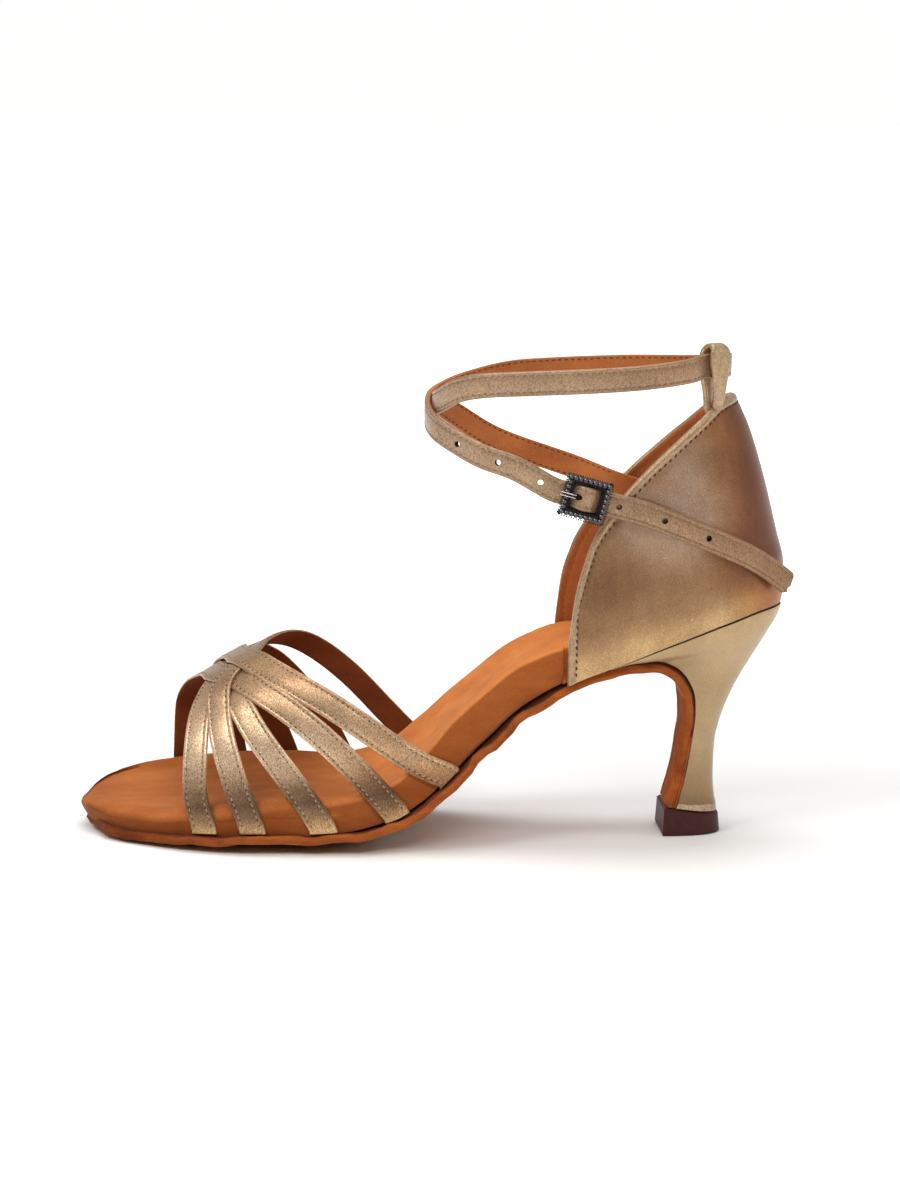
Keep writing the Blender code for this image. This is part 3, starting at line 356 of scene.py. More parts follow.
def outsole_line(stations):
    """The outsole's walking face: x, height, half width, sideways, share of the last."""
    line = []
    for along in rounded_stations(stations, 0.0006, 0.9994):
        if along > TONGUE.columns["along"][0] - 0.02:
            break
        step = 0.001
        slope = (base(along + step) - base(max(0.0, along - step))) / (LENGTH * 2 * step)
        slope = slope if along > 0.1 else slope / 2
        drop = (SOLE_THICKNESS + GAP) / math.hypot(1, slope)
        line.append((place(along) + drop * slope, base(along) - drop,
                     half_width(along) * LAST.read("underside", along), sideways(along), along))
    middle = line[-1][3]
    for i in range(TONGUE_STEPS + 1):
        at = (len(TONGUE.first) - 1) * i / TONGUE_STEPS
        line.append((place(TONGUE.read("along", at)), TONGUE.read("height", at) * SEAT_HEIGHT,
                     TONGUE.read("half_width", at) * BALL_WIDTH, middle * max(0, 1 - at / 2), 1.0))
    return line


def line_normals(line):
    """Unit direction from the walking face into the sole, at each station."""
    normals = []
    for i in range(len(line)):
        before, after = line[max(0, i - 1)], line[min(len(line) - 1, i + 1)]
        run = Vector((after[0] - before[0], 0, after[1] - before[1])).normalized()
        normals.append(Vector((-run.z, 0, run.x)))
    return normals


def tip_top(x):
    """Height of the wear piece's slanting top, where the heel and the outsole's tongue end."""
    share = (x - place(TONGUE.columns["along"][-1])) / TIP_LENGTH
    return TIP_THICKNESS + TIP_SLANT * (1 - 2 * share)


def heel_front(down, line):
    """The heel's front line: the back of the outsole's tongue, from the seat to the tip."""
    normals = line_normals(line)
    first = len(line) - TONGUE_STEPS - 1
    offset = SOLE_THICKNESS + GAP
    spots = [Vector((x, 0, height)) + normals[i + first] * offset
             for i, (x, height, *_) in enumerate(line[first:])]
    at = down * (len(spots) - 1)
    k = min(int(at), len(spots) - 2)
    return spots[k].lerp(spots[k + 1], at - k)


def counter_point(along, side, height):
    """The counter's outer face: the seat's outline at this station, carried up to a height."""
    seat = base(along)
    up = min(1.0, max(0.0, (height - seat) / COUNTER_HEIGHT))
    to_back = max(0.0, (along - COUNTER_FRONT) / (1 - COUNTER_FRONT))
    lean = COUNTER_BACK.read("back", up) * LENGTH * to_back ** 1.5
    spread = 1 + (COUNTER_BACK.read("spread", up) - 1) * (1 - 0.3 * to_back)
    out = side * half_width(along) * spread
    return Vector((place(along) + lean, sideways(along) + out, height))


def top_height(x, side):
    """The top line's height at a place along the shoe."""
    line = TOP_LINE.read("height", x / LENGTH + 0.5) * SEAT_HEIGHT
    if side < 0:
        return line
    above_corner = line - TOP_LINE.columns["height"][0] * SEAT_HEIGHT
    return line - INNER_DROP * min(1.0, above_corner / INNER_DROP_RUN)


def counter_top(along, side):
    """Height at which a column of the counter meets the top line."""
    low, high = base(along), SEAT_HEIGHT * 3
    for _ in range(SEARCH_STEPS):
        middle = (low + high) / 2
        x = counter_point(along, 1, middle).x
        low, high = (middle, high) if middle < top_height(x, -1) else (low, middle)
    to_back = (along - COUNTER_FRONT) / (1 - COUNTER_FRONT)
    x = counter_point(along, 1, low).x
    return low - (top_height(x, -1) - top_height(x, side)) * (1 - to_back ** 6)


def foot_point(along, angle):
    """The foot's surface in the forefoot: 0 at the outer side, 180 degrees at the inner side."""
    turn = math.radians(angle)
    cosine, sine = math.cos(turn), max(0.0, math.sin(turn))
    half = half_width(along) - LEDGE + STRAP_CLEARANCE
    foot = base(along) + edge_rise(along, half) + STRAP_FOOT_GAP
    ridge = RIDGE.read("height", along) * INSTEP_HEIGHT
    y = -math.copysign(half * abs(cosine) ** SIDE_FULLNESS, cosine)
    y += sideways(along) + RIDGE_INWARD * BALL_WIDTH * sine ** 2
    return Vector((place(along), y, foot + (ridge - foot) * sine ** CREST_FULLNESS))


def foot_frame(along, angle):
    """Steps along the shoe and round the foot, and the direction out of it."""
    step, turn = 0.002, 0.5
    forward = foot_point(along + step, angle) - foot_point(along - step, angle)
    low, high = max(0.0, angle - turn), min(180.0, angle + turn)
    round_foot = foot_point(along, high) - foot_point(along, low)
    return forward / (2 * step), round_foot / (high - low), forward.cross(round_foot).normalized()


def counter_frame(along, side, height):
    """A point on the counter's outer face and the direction out of it."""
    step, rise = 0.002, 0.001
    front = max(COUNTER_FRONT + step, min(along, 1 - 2 * step))
    forward = counter_point(front + step, side, height) - counter_point(front - step, side, height)
    upward = counter_point(along, side, height + rise) - counter_point(along, side, height - rise)
    return counter_point(along, side, height), (forward.cross(upward) * -side).normalized()


def counter_at(x, height, side):
    """The counter's outer face at a place along the shoe and a height."""
    low, high = COUNTER_FRONT, 1.0
    for _ in range(SEARCH_STEPS):
        middle = (low + high) / 2
        low, high = (middle, high) if counter_point(middle, side, height).x < x else (low, middle)
    return counter_frame(low, side, height)


def curve_through(points, spacing):
    """Points and outward directions on a smooth curve, and how far from its start each one lies."""
    padded = [points[0]] + points + [points[-1]]
    route, travelled = [points[0]], [0.0]
    for k in range(1, len(padded) - 2):
        before, start, end, after = padded[k - 1:k + 3]
        steps = max(1, round((end[0] - start[0]).length / spacing))
        for i in range(1, steps + 1):
            t = i / steps
            spot, out = (
                start[n] + 0.5 * t * ((end[n] - before[n]) + t * (
                    2 * before[n] - 5 * start[n] + 4 * end[n] - after[n]
                    + t * (3 * (start[n] - end[n]) + after[n] - before[n])))
                for n in (0, 1))
            travelled.append(travelled[-1] + (spot - route[-1][0]).length)
            route.append((spot, out.normalized()))
    return route, travelled


def on_route(route, travelled, distance):
    """Point, outward direction and run of a route at a distance from its start."""
    k = max(i for i in range(len(route) - 1) if travelled[i] <= distance)
    share = (distance - travelled[k]) / (travelled[k + 1] - travelled[k])
    (one, out), (other, next_out) = route[k], route[k + 1]
    out = out.lerp(next_out, share).normalized()
    return one.lerp(other, share), out, (other - one).normalized()


def loop_seat():
    """Middle of the counter's wall under the loop, the direction out of it, and its height."""
    height = counter_top(LOOP_STATION, -1)
    point, out = counter_frame(LOOP_STATION, -1, height)
    return point - out * COUNTER_WALL / 2, Vector((out.x, out.y, 0)).normalized(), height


def ring_point(turn, height, outward):
    """A point of the strap's ring round the ankle, turning from the back over the inner side."""
    angle = math.radians(turn)
    power = 2 / RING_SQUARENESS
    x_share = math.copysign(abs(math.cos(angle)) ** power, math.cos(angle))
    y_share = math.copysign(abs(math.sin(angle)) ** power, math.sin(angle))
    back = counter_point(1.0, 1, counter_top(1.0, -1)).x
    middle = Vector((back - RING_FRONT + RING_LENGTH / 2, RING_INWARD, 0))
    out = Vector((math.cos(angle) / RING_LENGTH, math.sin(angle) / RING_WIDTH, 0)).normalized()
    point = middle + Vector((x_share * RING_LENGTH / 2, y_share * RING_WIDTH / 2, 0))
    point.z = SEAT_HEIGHT + height * COUNTER_HEIGHT
    return point + out * (outward or 0) * BAND_THICKNESS, out


class Buckle:
    """The buckle's place, and the depths at which strap and tab pass its bars."""

    def __init__(self):
        x = BUCKLE_CONTACT * LENGTH
        height = SEAT_HEIGHT + BUCKLE_LEVEL * COUNTER_HEIGHT
        touch, out = counter_at(x, height, -1)
        self.out = Vector((out.x, out.y, 0)).normalized()
        level_run = Vector((-self.out.y, self.out.x, 0))
        self.run = level_run * math.cos(BUCKLE_TILT) - Vector((0, 0, math.sin(BUCKLE_TILT)))
        self.up = self.out.cross(self.run)
        self.strap_under = -(BUCKLE_THICKNESS / 2 + 1.5 * GAP + BAND_THICKNESS / 2)
        self.tab = self.strap_under - BAND_THICKNESS / 2 - GAP - TAB_EASE - TAB_THICKNESS / 2
        self.fold = BAR_RADIUS + GAP + TAB_THICKNESS / 2
        self.bar = self.tab + self.fold
        self.strap_over = self.bar + self.fold + (TAB_THICKNESS + BAND_THICKNESS) / 2 + GAP
        depth = -self.tab + TAB_THICKNESS / 2 + GAP
        self.origin = touch + self.out * depth - self.run * BUCKLE_REACH

    def at(self, along, depth, across=0.0):
        return self.origin + self.run * along + self.out * depth + self.up * across


def band_route(buckle, spacing):
    """The ankle strap's middle line: sewn in the counter, once and a half round, and its tail."""
    points = []
    inside = COUNTER_WALL + 3 * GAP + BAND_THICKNESS / 2
    for back, level in ((ANCHOR_LENGTH, ANCHOR_LEVELS[0]), (0.0, ANCHOR_LEVELS[1])):
        height = SEAT_HEIGHT + level * COUNTER_HEIGHT
        point, out = counter_at(ANCHOR_PLACE * LENGTH + back, height, 1)
        points.append((point - out * inside, out))
    seat, loop_out, _ = loop_seat()
    through = Vector((-loop_out.y, loop_out.x, 0)) * LOOP_WIDTH / 2
    for turn, height, outward in RING:
        point, out = ring_point(turn, height, outward)
        if outward is None:
            middle = Vector((seat.x, seat.y, point.z))
            points += [(middle + through * share, loop_out) for share in (-1.1, 0, 1.1)]
        else:
            points.append((point, out))
    half = BUCKLE_LENGTH / 2
    inside_border = half - BUCKLE_BORDER * 1.1
    under_border = half - BUCKLE_BORDER / 2
    for along, depth in (
            (-half - STRAP_RUN_IN, buckle.strap_under), (-under_border, buckle.strap_under),
            (-inside_border, buckle.strap_under), (-FOLD_CREST, buckle.strap_over),
            (FOLD_CREST, buckle.strap_over), (inside_border, buckle.strap_under),
            (under_border, buckle.strap_under)):
        points.append((buckle.at(along, depth), buckle.out))
    resting = BAND_THICKNESS / 2 + GAP
    over_tab = resting + TAB_THICKNESS + GAP + TAB_EASE
    start = buckle.at(BUCKLE_REACH, 0.0)
    for share, drop, offset in TAIL:
        x = start.x + share * TAIL_LENGTH
        point, out = counter_at(x, start.z - drop * TAIL_LENGTH, -1)
        points.append((point + out * (over_tab + (resting - over_tab) * offset), out))
    last, out = points[-1]
    straight = (last - points[-2][0]).normalized()
    points.append((last + straight * TAIL_LENGTH * TAIL_FREE, out))
    return curve_through(points, spacing)


# Where the tables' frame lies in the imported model
_tip_low, _tip_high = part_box("top_piece")
SHIFT = Vector((_tip_low.x - place(TONGUE.columns["along"][-1]) + TIP_FLARE,
                (_tip_low.y + _tip_high.y) / 2, 0.0))

# Camera: in front of the outer side, a little above and to the toe's side
EYE = Vector((-0.04304, -0.93569, 0.23252))
CAMERA_BACK = Vector((-0.0516182, -0.98493393, 0.16504761))
CAMERA_RIGHT = Vector((0.99865772, -0.05161629, 0.00430347))
LENS = 89.06


def wobble(spot, scale, seed=0.0):
    """Smooth noise between -1 and 1 at a point."""
    return noise.noise(Vector((spot.x, spot.y, spot.z)) * scale + Vector((seed, seed * 1.7, -seed)))


def waves(spot, octaves):
    """Sum of noises, each with its scale, seed and size."""
    return sum(wobble(spot, scale, seed) * size for scale, seed, size in octaves)


def smooth_step(value):
    value = min(1.0, max(0.0, value))
    return value * value * (3 - 2 * value)


def run_at(spots, i):
    """Direction of a line at one of its points."""
    return (spots[min(len(spots) - 1, i + 1)] - spots[max(0, i - 1)]).normalized()


def circle(centre, one, other, radius, sides, first=0.0):
    turns = [2 * math.pi * (k + first) / sides for k in range(sides)]
    return [centre + (one * math.cos(turn) + other * math.sin(turn)) * radius for turn in turns]


# Meshes
def add_object(name, data):
    made = bpy.data.objects.new(name, data)
    bpy.context.scene.collection.objects.link(made)
    return made


def mesh_from(name, skin, materials=()):
    """A mesh of points, faces and material indices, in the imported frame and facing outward."""
    points, faces, indices = skin
    mesh = bpy.data.meshes.new(name)
    mesh.from_pydata([point + SHIFT for point in points], [], faces)
    for paint in materials:
        mesh.materials.append(paint)
    mesh.polygons.foreach_set("material_index", indices)
    shape = bmesh.new()
    shape.from_mesh(mesh)
    bmesh.ops.recalc_face_normals(shape, faces=shape.faces)
    shape.to_mesh(mesh)
    shape.free()
    return mesh


def piece_from(name, node, skin, materials, sharp=40.0):
    """One visible piece: smooth up to an angle in degrees, riding on the shoe."""
    mesh = mesh_from(name, skin, materials)
    mesh.shade_smooth()
    mesh.set_sharp_from_angle(angle=math.radians(sharp))
    made = add_object(name, mesh)
    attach(made, "root")
    if node:
        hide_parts(node)
    return made


def loft(rings, closed=False, index_of=None):
    """Points, faces and material indices of a skin over rings of equally many points."""
    count = len(rings[0])
    points = [point for ring in rings for point in ring]
    faces, indices = [], []
    last = len(rings) if closed else len(rings) - 1
    for i in range(last):
        j = (i + 1) % len(rings)
        for k in range(count):
            m = (k + 1) % count
            faces.append((i * count + k, i * count + m, j * count + m, j * count + k))
            indices.append(index_of(i, k) if index_of else 0)
    if not closed:
        faces.append(tuple(range(count))[::-1])
        faces.append(tuple(range((len(rings) - 1) * count, len(rings) * count)))
        indices += [0, 0]
    return points, faces, indices


def merged(parts):
    """Several (points, faces, indices) as one."""
    points, faces, indices = [], [], []
    for some_points, some_faces, some_indices in parts:
        first = len(points)
        points += some_points
        faces += [tuple(i + first for i in face) for face in some_faces]
        indices += some_indices
    return points, faces, indices


def evenly(line, pitch, start=0.0):
    """Places, outward directions and runs at even distances along a line of (point, out)."""
    travelled = [0.0]
    for (one, _), (other, _) in zip(line, line[1:]):
        travelled.append(travelled[-1] + (other - one).length)
    spots, k, distance = [], 0, start
    while distance < travelled[-1]:
        while k < len(line) - 2 and travelled[k + 1] < distance:
            k += 1
        span = travelled[k + 1] - travelled[k]
        share = (distance - travelled[k]) / span if span else 0.0
        (one, out), (other, next_out) = line[k], line[k + 1]
        run = other - one
        if run.length:
            out = out.lerp(next_out, share).normalized()
            spots.append((one.lerp(other, share), out, run.normalized()))
        distance += pitch
    return spots


STITCH_PROFILE = ((-0.5, 0.35), (-0.32, 0.95), (0.32, 0.95), (0.5, 0.35))


def stitch_row(line, pitch, length, radius, slant=0.12, sides=6, start=0.5):
    """Short threads along a line, half sunk, each at a slight slant."""
    parts = []
    for spot, out, run in evenly(line, pitch, pitch * start):
        across = out.cross(run).normalized()
        heading = (run + across * slant).normalized()
        side = out.cross(heading).normalized()
        rings = []
        for share, grow in STITCH_PROFILE:
            sink = -radius * 1.1 * (abs(share) > 0.4)
            middle = spot + heading * share * length + out * sink
            rings.append(circle(middle, side, out, radius * grow, sides))
        parts.append(loft(rings))
    return merged(parts)


# Materials
def node(tree, kind, inputs=(), **settings):
    """A shader node with its settings, and its inputs set to values or linked to sockets."""
    made = tree.nodes.new("ShaderNode" + kind)
    for key, value in settings.items():
        setattr(made, key, value)
    for key, value in dict(inputs).items():
        if isinstance(value, bpy.types.NodeSocket):
            tree.links.new(value, made.inputs[key])
        else:
            made.inputs[key].default_value = value
    return made


def new_material(name, roughness, metallic=0.0, **fixed):
    made = bpy.data.materials.new(name)
    made.use_nodes = True
    tree = made.node_tree
    shader = tree.nodes["Principled BSDF"]
    shader.inputs["Roughness"].default_value = roughness
    shader.inputs["Metallic"].default_value = metallic
    for key, value in fixed.items():
        shader.inputs[key.replace("_", " ")].default_value = value
    return made, tree, shader, node(tree, "TexCoord").outputs["Object"]


def noise_node(tree, where, scale, detail=2.0, roughness=0.5, stretch=None):
    if stretch:
        scales, turns = stretch
        mapping = node(tree, "Mapping", {"Vector": where, "Scale": scales, "Rotation": turns})
        where = mapping.outputs["Vector"]
    inputs = {"Vector": where, "Scale": scale, "Detail": detail, "Roughness": roughness}
    return node(tree, "TexNoise", inputs).outputs["Fac"]


def ramp(tree, value, stops):
    made = node(tree, "ValToRGB", {"Fac": value})
    elements = made.color_ramp.elements
    while len(elements) < len(stops):
        elements.new(0.5)
    for element, (position, colour) in zip(elements, stops):
        element.position = position
        element.color = (*colour, 1.0)
    return made.outputs["Color"]


def grey(level):
    return (level, level, level)


def grey_ramp(tree, value, *stops):
    return ramp(tree, value, [(position, grey(level)) for position, level in stops])


def mix(tree, mode, factor, one, other):
    """Mixes two colours, each a socket or a tuple. Sockets 6 and 7 are the node's colours."""
    one, other = ((*c, 1.0) if isinstance(c, tuple) else c for c in (one, other))
    made = node(tree, "Mix", {0: factor, 6: one, 7: other}, data_type="RGBA", blend_type=mode)
    return made.outputs[2]


def multiplied(tree, colour, other, factor=1.0):
    return mix(tree, "MULTIPLY", factor, colour, other)


def bump(tree, shader, height, strength, distance, after=None):
    made = node(tree, "Bump", {"Strength": strength, "Distance": distance, "Height": height})
    if after:
        tree.links.new(after, made.inputs["Normal"])
    tree.links.new(made.outputs["Normal"], shader.inputs["Normal"])
    return made.outputs["Normal"]


def vector_math(tree, operation, one, other=None, output="Vector"):
    inputs = {0: one} if other is None else {0: one, 1: other}
    return node(tree, "VectorMath", inputs, operation=operation).outputs[output]


def tinted(tree, where, colour, bands, painted_light_patches=()):
    """Multiplies a colour by bands that lie across directions, and by tints that fade out round
    places seen from the side: painted light and shade.
    """
    for direction, low, high, stops in bands:
        along = vector_math(tree, "DOT_PRODUCT", where, direction, "Value")
        scaled = node(tree, "MapRange", {"Value": along, "From Min": low, "From Max": high})
        colour = multiplied(tree, colour, ramp(tree, scaled.outputs["Result"], stops))
    for (x, z), radius, tint in painted_light_patches:
        offset = vector_math(tree, "SUBTRACT", where, (x, 0.0, z))
        flat = vector_math(tree, "MULTIPLY", offset, (1 / radius, 0.0, 1 / radius))
        away = vector_math(tree, "LENGTH", flat, output="Value")
        stops = [(position, tuple(1 + (t - 1) * kept for t in tint))
                 for position, kept in PATCH_FADE]
        colour = multiplied(tree, colour, ramp(tree, away, stops))
    return colour


PATCH_FADE = ((0.0, 1.0), (0.35, 0.75), (0.6, 0.5), (1.0, 0.0))
TWILL = ((1.0, 1.0, 0.7), (0.0, 0.7, 0.0))              # stretch and turn of the satin's weave
SATIN_STROKES = ((1.0, 1.0, 0.22), (0.0, 0.15, 0.0))
NAP = ((0.35, 1.0, 1.0), (0.0, 0.0, 0.5))               # and of the suede's strokes


def satin(name, light, dark, roughness, metallic, flecks=0.5, grain=1500.0, bands=(), painted_light_patches=(),
          coat=0.3, sparkle=0.0, streaks=0.3):
    """Fine woven satin with a metallic thread: flecks, faint clouds and a diagonal twill."""
    made, tree, shader, where = new_material(
        name, roughness, metallic, Sheen_Weight=0.10, Sheen_Roughness=0.4, Coat_Weight=coat,
        Coat_Roughness=0.36)
    clouds = noise_node(tree, where, 55.0, 3.0, 0.55)
    colour = ramp(tree, clouds, ((0.32, dark), (0.68, light)))
    strokes = noise_node(tree, where, 420.0, 3.0, 0.6, SATIN_STROKES)
    colour = multiplied(tree, colour, grey_ramp(tree, strokes, (0.34, 0.76), (0.62, 1.06)), streaks)
    fleck = noise_node(tree, where, grain, 2.0, 0.65, TWILL)
    colour = multiplied(tree, colour, grey_ramp(tree, fleck, (0.38, 0.40), (0.56, 1.0)), flecks)
    if sparkle:
        glint = noise_node(tree, where, grain * 1.4, 1.0, 0.5)
        shown = grey_ramp(tree, glint, (0.60, 0.0), (0.70, sparkle))
        colour = mix(tree, "MIX", shown, colour, (0.95, 0.78, 0.60))
    tree.links.new(tinted(tree, where, colour, bands, painted_light_patches), shader.inputs["Base Color"])
    gloss = grey_ramp(tree, fleck, (0.3, roughness + 0.14), (0.7, max(0.05, roughness - 0.06)))
    tree.links.new(gloss, shader.inputs["Roughness"])
    bump(tree, shader, noise_node(tree, where, grain * 1.7, 2.0, 0.6, TWILL), 0.30, 0.00012)
    return made


def suede(name, light, dark, deep=None, sheen=0.35, coarse=140.0, side=None, bands=()):
    """Brushed nap: soft light and dark strokes, fine grain and a velvet sheen."""
    made, tree, shader, where = new_material(
        name, 0.95, Sheen_Weight=sheen, Sheen_Roughness=0.5, Specular_IOR_Level=0.15,
        Sheen_Tint=(1.0, 0.55, 0.3, 1.0))
    strokes = noise_node(tree, where, coarse, 4.0, 0.6, NAP)
    colour = ramp(tree, strokes, ((0.3, dark), (0.7, light)))
    # Painted shade: faces that turn upright take the darker side colour
    if side:
        normal = node(tree, "NewGeometry").outputs["Normal"]
        height = node(tree, "SeparateXYZ", {"Vector": normal}).outputs["Z"]
        upright = grey_ramp(tree, height, (0.22, 1.0), (0.58, 0.0))
        colour = multiplied(tree, colour, side, upright)
    grain = noise_node(tree, where, 2400.0, 3.0, 0.7)
    colour = multiplied(tree, colour, grey_ramp(tree, grain, (0.3, 0.5), (0.62, 1.0)), 0.55)
    if deep:
        worn = grey_ramp(tree, noise_node(tree, where, 60.0, 5.0, 0.7), (0.5, 0.0), (0.72, 0.7))
        colour = mix(tree, "MIX", worn, colour, deep)
    tree.links.new(tinted(tree, where, colour, bands), shader.inputs["Base Color"])
    first = bump(tree, shader, strokes, 0.25, 0.0006)
    bump(tree, shader, grain, 0.6, 0.00022, first)
    return made


# Paints, one for each kind of surface
# On the vamp straps, painted reflection and shade: gold ends, a dark band above them, pale in the middle, duller
# at the crown
STRAP_PAINTED_LIGHT_BANDS = ((-0.1, 0.0, 1.0), 0.0076, 0.0716, (
    (0.0, (1.25, 1.12, 0.86)), (0.08, (1.10, 1.00, 0.80)), (0.14, (0.52, 0.44, 0.35)),
    (0.21, (0.27, 0.21, 0.16)), (0.28, (0.48, 0.40, 0.34)), (0.35, (1.05, 1.04, 1.04)),
    (0.42, (1.55, 1.66, 1.85)), (0.54, (1.35, 1.40, 1.52)),
    (0.66, (0.96, 0.91, 0.87)), (0.80, (0.68, 0.59, 0.50)), (1.0, (0.72, 0.62, 0.52))))
# Patches of painted shade and painted light: place seen from the side, radius and tint
STRAP_PAINTED_LIGHT_PATCHES = (((-0.018, 0.030), 0.024, (0.76, 0.62, 0.48)),
                 ((0.0, 0.018), 0.014, (2.0, 1.85, 1.45)))
BRIGHT_SATIN = satin("bright_satin", (0.70, 0.47, 0.27), (0.52, 0.33, 0.18), 0.34, 0.60, 0.85,
                     2300.0, (STRAP_PAINTED_LIGHT_BANDS,), STRAP_PAINTED_LIGHT_PATCHES, 0.25, 0.8, 0.15)
BINDING_SATIN = satin("binding_satin", (0.50, 0.33, 0.18), (0.38, 0.24, 0.12), 0.38, 0.45, 0.6,
                      1900.0, sparkle=0.2)
# The ankle strap is painted duller and darker towards the heel: painted shade
BAND_PAINTED_SHADE = ((1.0, 0.0, 0.0), 0.03, 0.10, ((0.0, grey(1.0)), (1.0, (0.90, 0.76, 0.62))))
BAND_SATIN = satin("band_satin", (0.43, 0.27, 0.15), (0.32, 0.19, 0.100), 0.40, 0.42, 0.65,
                   1900.0, (BAND_PAINTED_SHADE,), sparkle=0.25)
# The counter is pale along its foot and darkens towards the back: painted reflection and painted shade
COUNTER_PAINTED_REFLECTION_BANDS = ((-0.356, 0.0, 1.0), 0.0370, 0.0870, (
    (0.0, (1.74, 1.94, 1.75)), (0.11, (1.68, 1.84, 1.62)), (0.20, (1.12, 1.10, 0.96)),
    (0.30, (0.84, 0.77, 0.64)), (0.50, (0.82, 0.76, 0.67)), (0.72, (0.92, 0.90, 0.87)), (1.0, (1.0, 0.98, 0.96))))
COUNTER_PAINTED_BACK_SHADE = ((1.0, 0.0, 0.25), 0.1085, 0.1290, (
    (0.0, grey(1.0)), (0.40, (0.82, 0.66, 0.50)), (0.75, (0.62, 0.36, 0.19)),
    (1.0, (0.55, 0.27, 0.12))))
# Patches of painted sheen, painted highlight and painted shade in the folds: place seen from the side, radius and
# tint
COUNTER_PAINTED_LIGHT_PATCHES = (
    ((0.077, 0.109), 0.024, (1.42, 1.72, 2.50)), ((0.083, 0.132), 0.008, (1.35, 1.42, 1.60)),
    ((0.054, 0.087), 0.015, (0.72, 0.58, 0.44)), ((0.066, 0.121), 0.009, (0.86, 0.68, 0.50)),
    ((0.092, 0.092), 0.013, (0.78, 0.60, 0.44)), ((0.060, 0.098), 0.007, (1.18, 1.26, 1.40)))
COUNTER_SATIN = satin("counter_satin", (0.37, 0.212, 0.105), (0.27, 0.143, 0.065), 0.36, 0.50, 0.35,
                      2600.0, (COUNTER_PAINTED_REFLECTION_BANDS, COUNTER_PAINTED_BACK_SHADE), COUNTER_PAINTED_LIGHT_PATCHES, 0.06, 0.2, 0.35)
# Painted shade on the heel: darker towards the bottom, a little lighter at the top
HEEL_PAINTED_SHADE_BANDS = ((0.0, 0.0, 1.0), 0.008, 0.075, (
    (0.0, (0.60, 0.52, 0.46)), (0.12, (0.80, 0.74, 0.68)), (0.35, grey(0.98)), (0.7, grey(1.10)),
    (1.0, grey(1.12))))
HEEL_SATIN = satin("heel_satin", (0.50, 0.345, 0.18), (0.42, 0.28, 0.135), 0.38, 0.50, 0.22, 2600.0,
                   bands=(HEEL_PAINTED_SHADE_BANDS,), streaks=0.1)
RIM_SATIN = satin("rim_satin", (0.66, 0.50, 0.33), (0.50, 0.34, 0.19), 0.5, 0.3, 0.6, 1500.0)
# Painted light on the insole: darker at the toe, lighter towards the seat
SOCK_PAINTED_LIGHT_BANDS = ((1.0, 0.0, 0.0), -0.115, 0.045, (
    (0.0, (0.74, 0.68, 0.62)), (0.10, (0.92, 0.88, 0.84)), (0.35, grey(0.98)),
    (0.62, (1.26, 1.34, 1.34)), (1.0, (1.42, 1.50, 1.50))))
# The insole's upright sides are painted darker, as shade
SOCK_SUEDE = suede("sock_suede", (0.58, 0.185, 0.047), (0.44, 0.120, 0.028),
                   side=(0.58, 0.48, 0.40), bands=(SOCK_PAINTED_LIGHT_BANDS,))
LINING_SUEDE = suede("lining_suede", (0.56, 0.190, 0.058), (0.42, 0.130, 0.036), coarse=90.0)
# Suede inside the vamp straps, painted darker than the counter's lining: painted shade
VAMP_LINING_PAINTED_SHADE = suede("vamp_lining_painted_shade", (0.21, 0.052, 0.013), (0.145, 0.035, 0.009), coarse=90.0,
                    sheen=0.08)
# Painted shade on the outsole: darker towards the toe
SOLE_PAINTED_SHADE_BANDS = ((1.0, 0.0, 0.0), -0.112, -0.030, (
    (0.0, (0.42, 0.34, 0.30)), (0.30, (0.60, 0.52, 0.48)), (0.60, grey(0.95)), (1.0, grey(1.0))))
SOLE_SUEDE = suede("sole_suede", (0.52, 0.135, 0.026), (0.28, 0.058, 0.012), (0.10, 0.026, 0.010),
                   coarse=220.0, sheen=0.10, bands=(SOLE_PAINTED_SHADE_BANDS,))
# The outsole's top under the insole's edge, painted darker: painted shade in the crease
SOLE_CREASE_SHADE = suede("sole_crease_shade", (0.240, 0.052, 0.016), (0.110, 0.024, 0.009), coarse=300.0,
                    sheen=0.1)
WALKING_SUEDE = suede("walking_suede", (0.46, 0.20, 0.085), (0.34, 0.13, 0.05),
                      (0.16, 0.07, 0.035), coarse=180.0)
# A brighter copy of the sole's suede with little sheen, for the faces turned towards the toe: painted light
BREAST_SUEDE = suede("breast_suede", (0.56, 0.145, 0.028), (0.36, 0.082, 0.016), coarse=220.0,
                     sheen=0.02)


def plain(name, colour, roughness, metallic=0.0, grain=0.0, scale=900.0, **fixed):
    made, tree, shader, where = new_material(name, roughness, metallic, **fixed)
    shade = noise_node(tree, where, scale, 3.0, 0.6)
    dark = tuple(0.72 * c for c in colour)
    tree.links.new(ramp(tree, shade, ((0.35, dark), (0.65, colour))), shader.inputs["Base Color"])
    if grain:
        bump(tree, shader, shade, grain, 0.0001)
    return made


RUBBER = plain("maroon_rubber", (0.070, 0.012, 0.012), 0.50, 0.0, 0.3, 500.0,
               Specular_IOR_Level=0.3)
THREAD = plain("brown_thread", (0.060, 0.032, 0.018), 0.7, 0.0, 0.5)
GOLD_THREAD = plain("gold_thread", (0.52, 0.37, 0.23), 0.50, 0.0, 0.4)
BAND_THREAD = plain("band_thread", (0.24, 0.145, 0.080), 0.60, 0.0, 0.4)
TAN_THREAD = plain("tan_thread", (0.36, 0.13, 0.04), 0.75, 0.0, 0.5)
# Painted shade in the seam's groove under the counter and in the stitch holes
PAINTED_SEAM_SHADE = plain("painted_seam_shade", (0.120, 0.058, 0.026), 0.85)
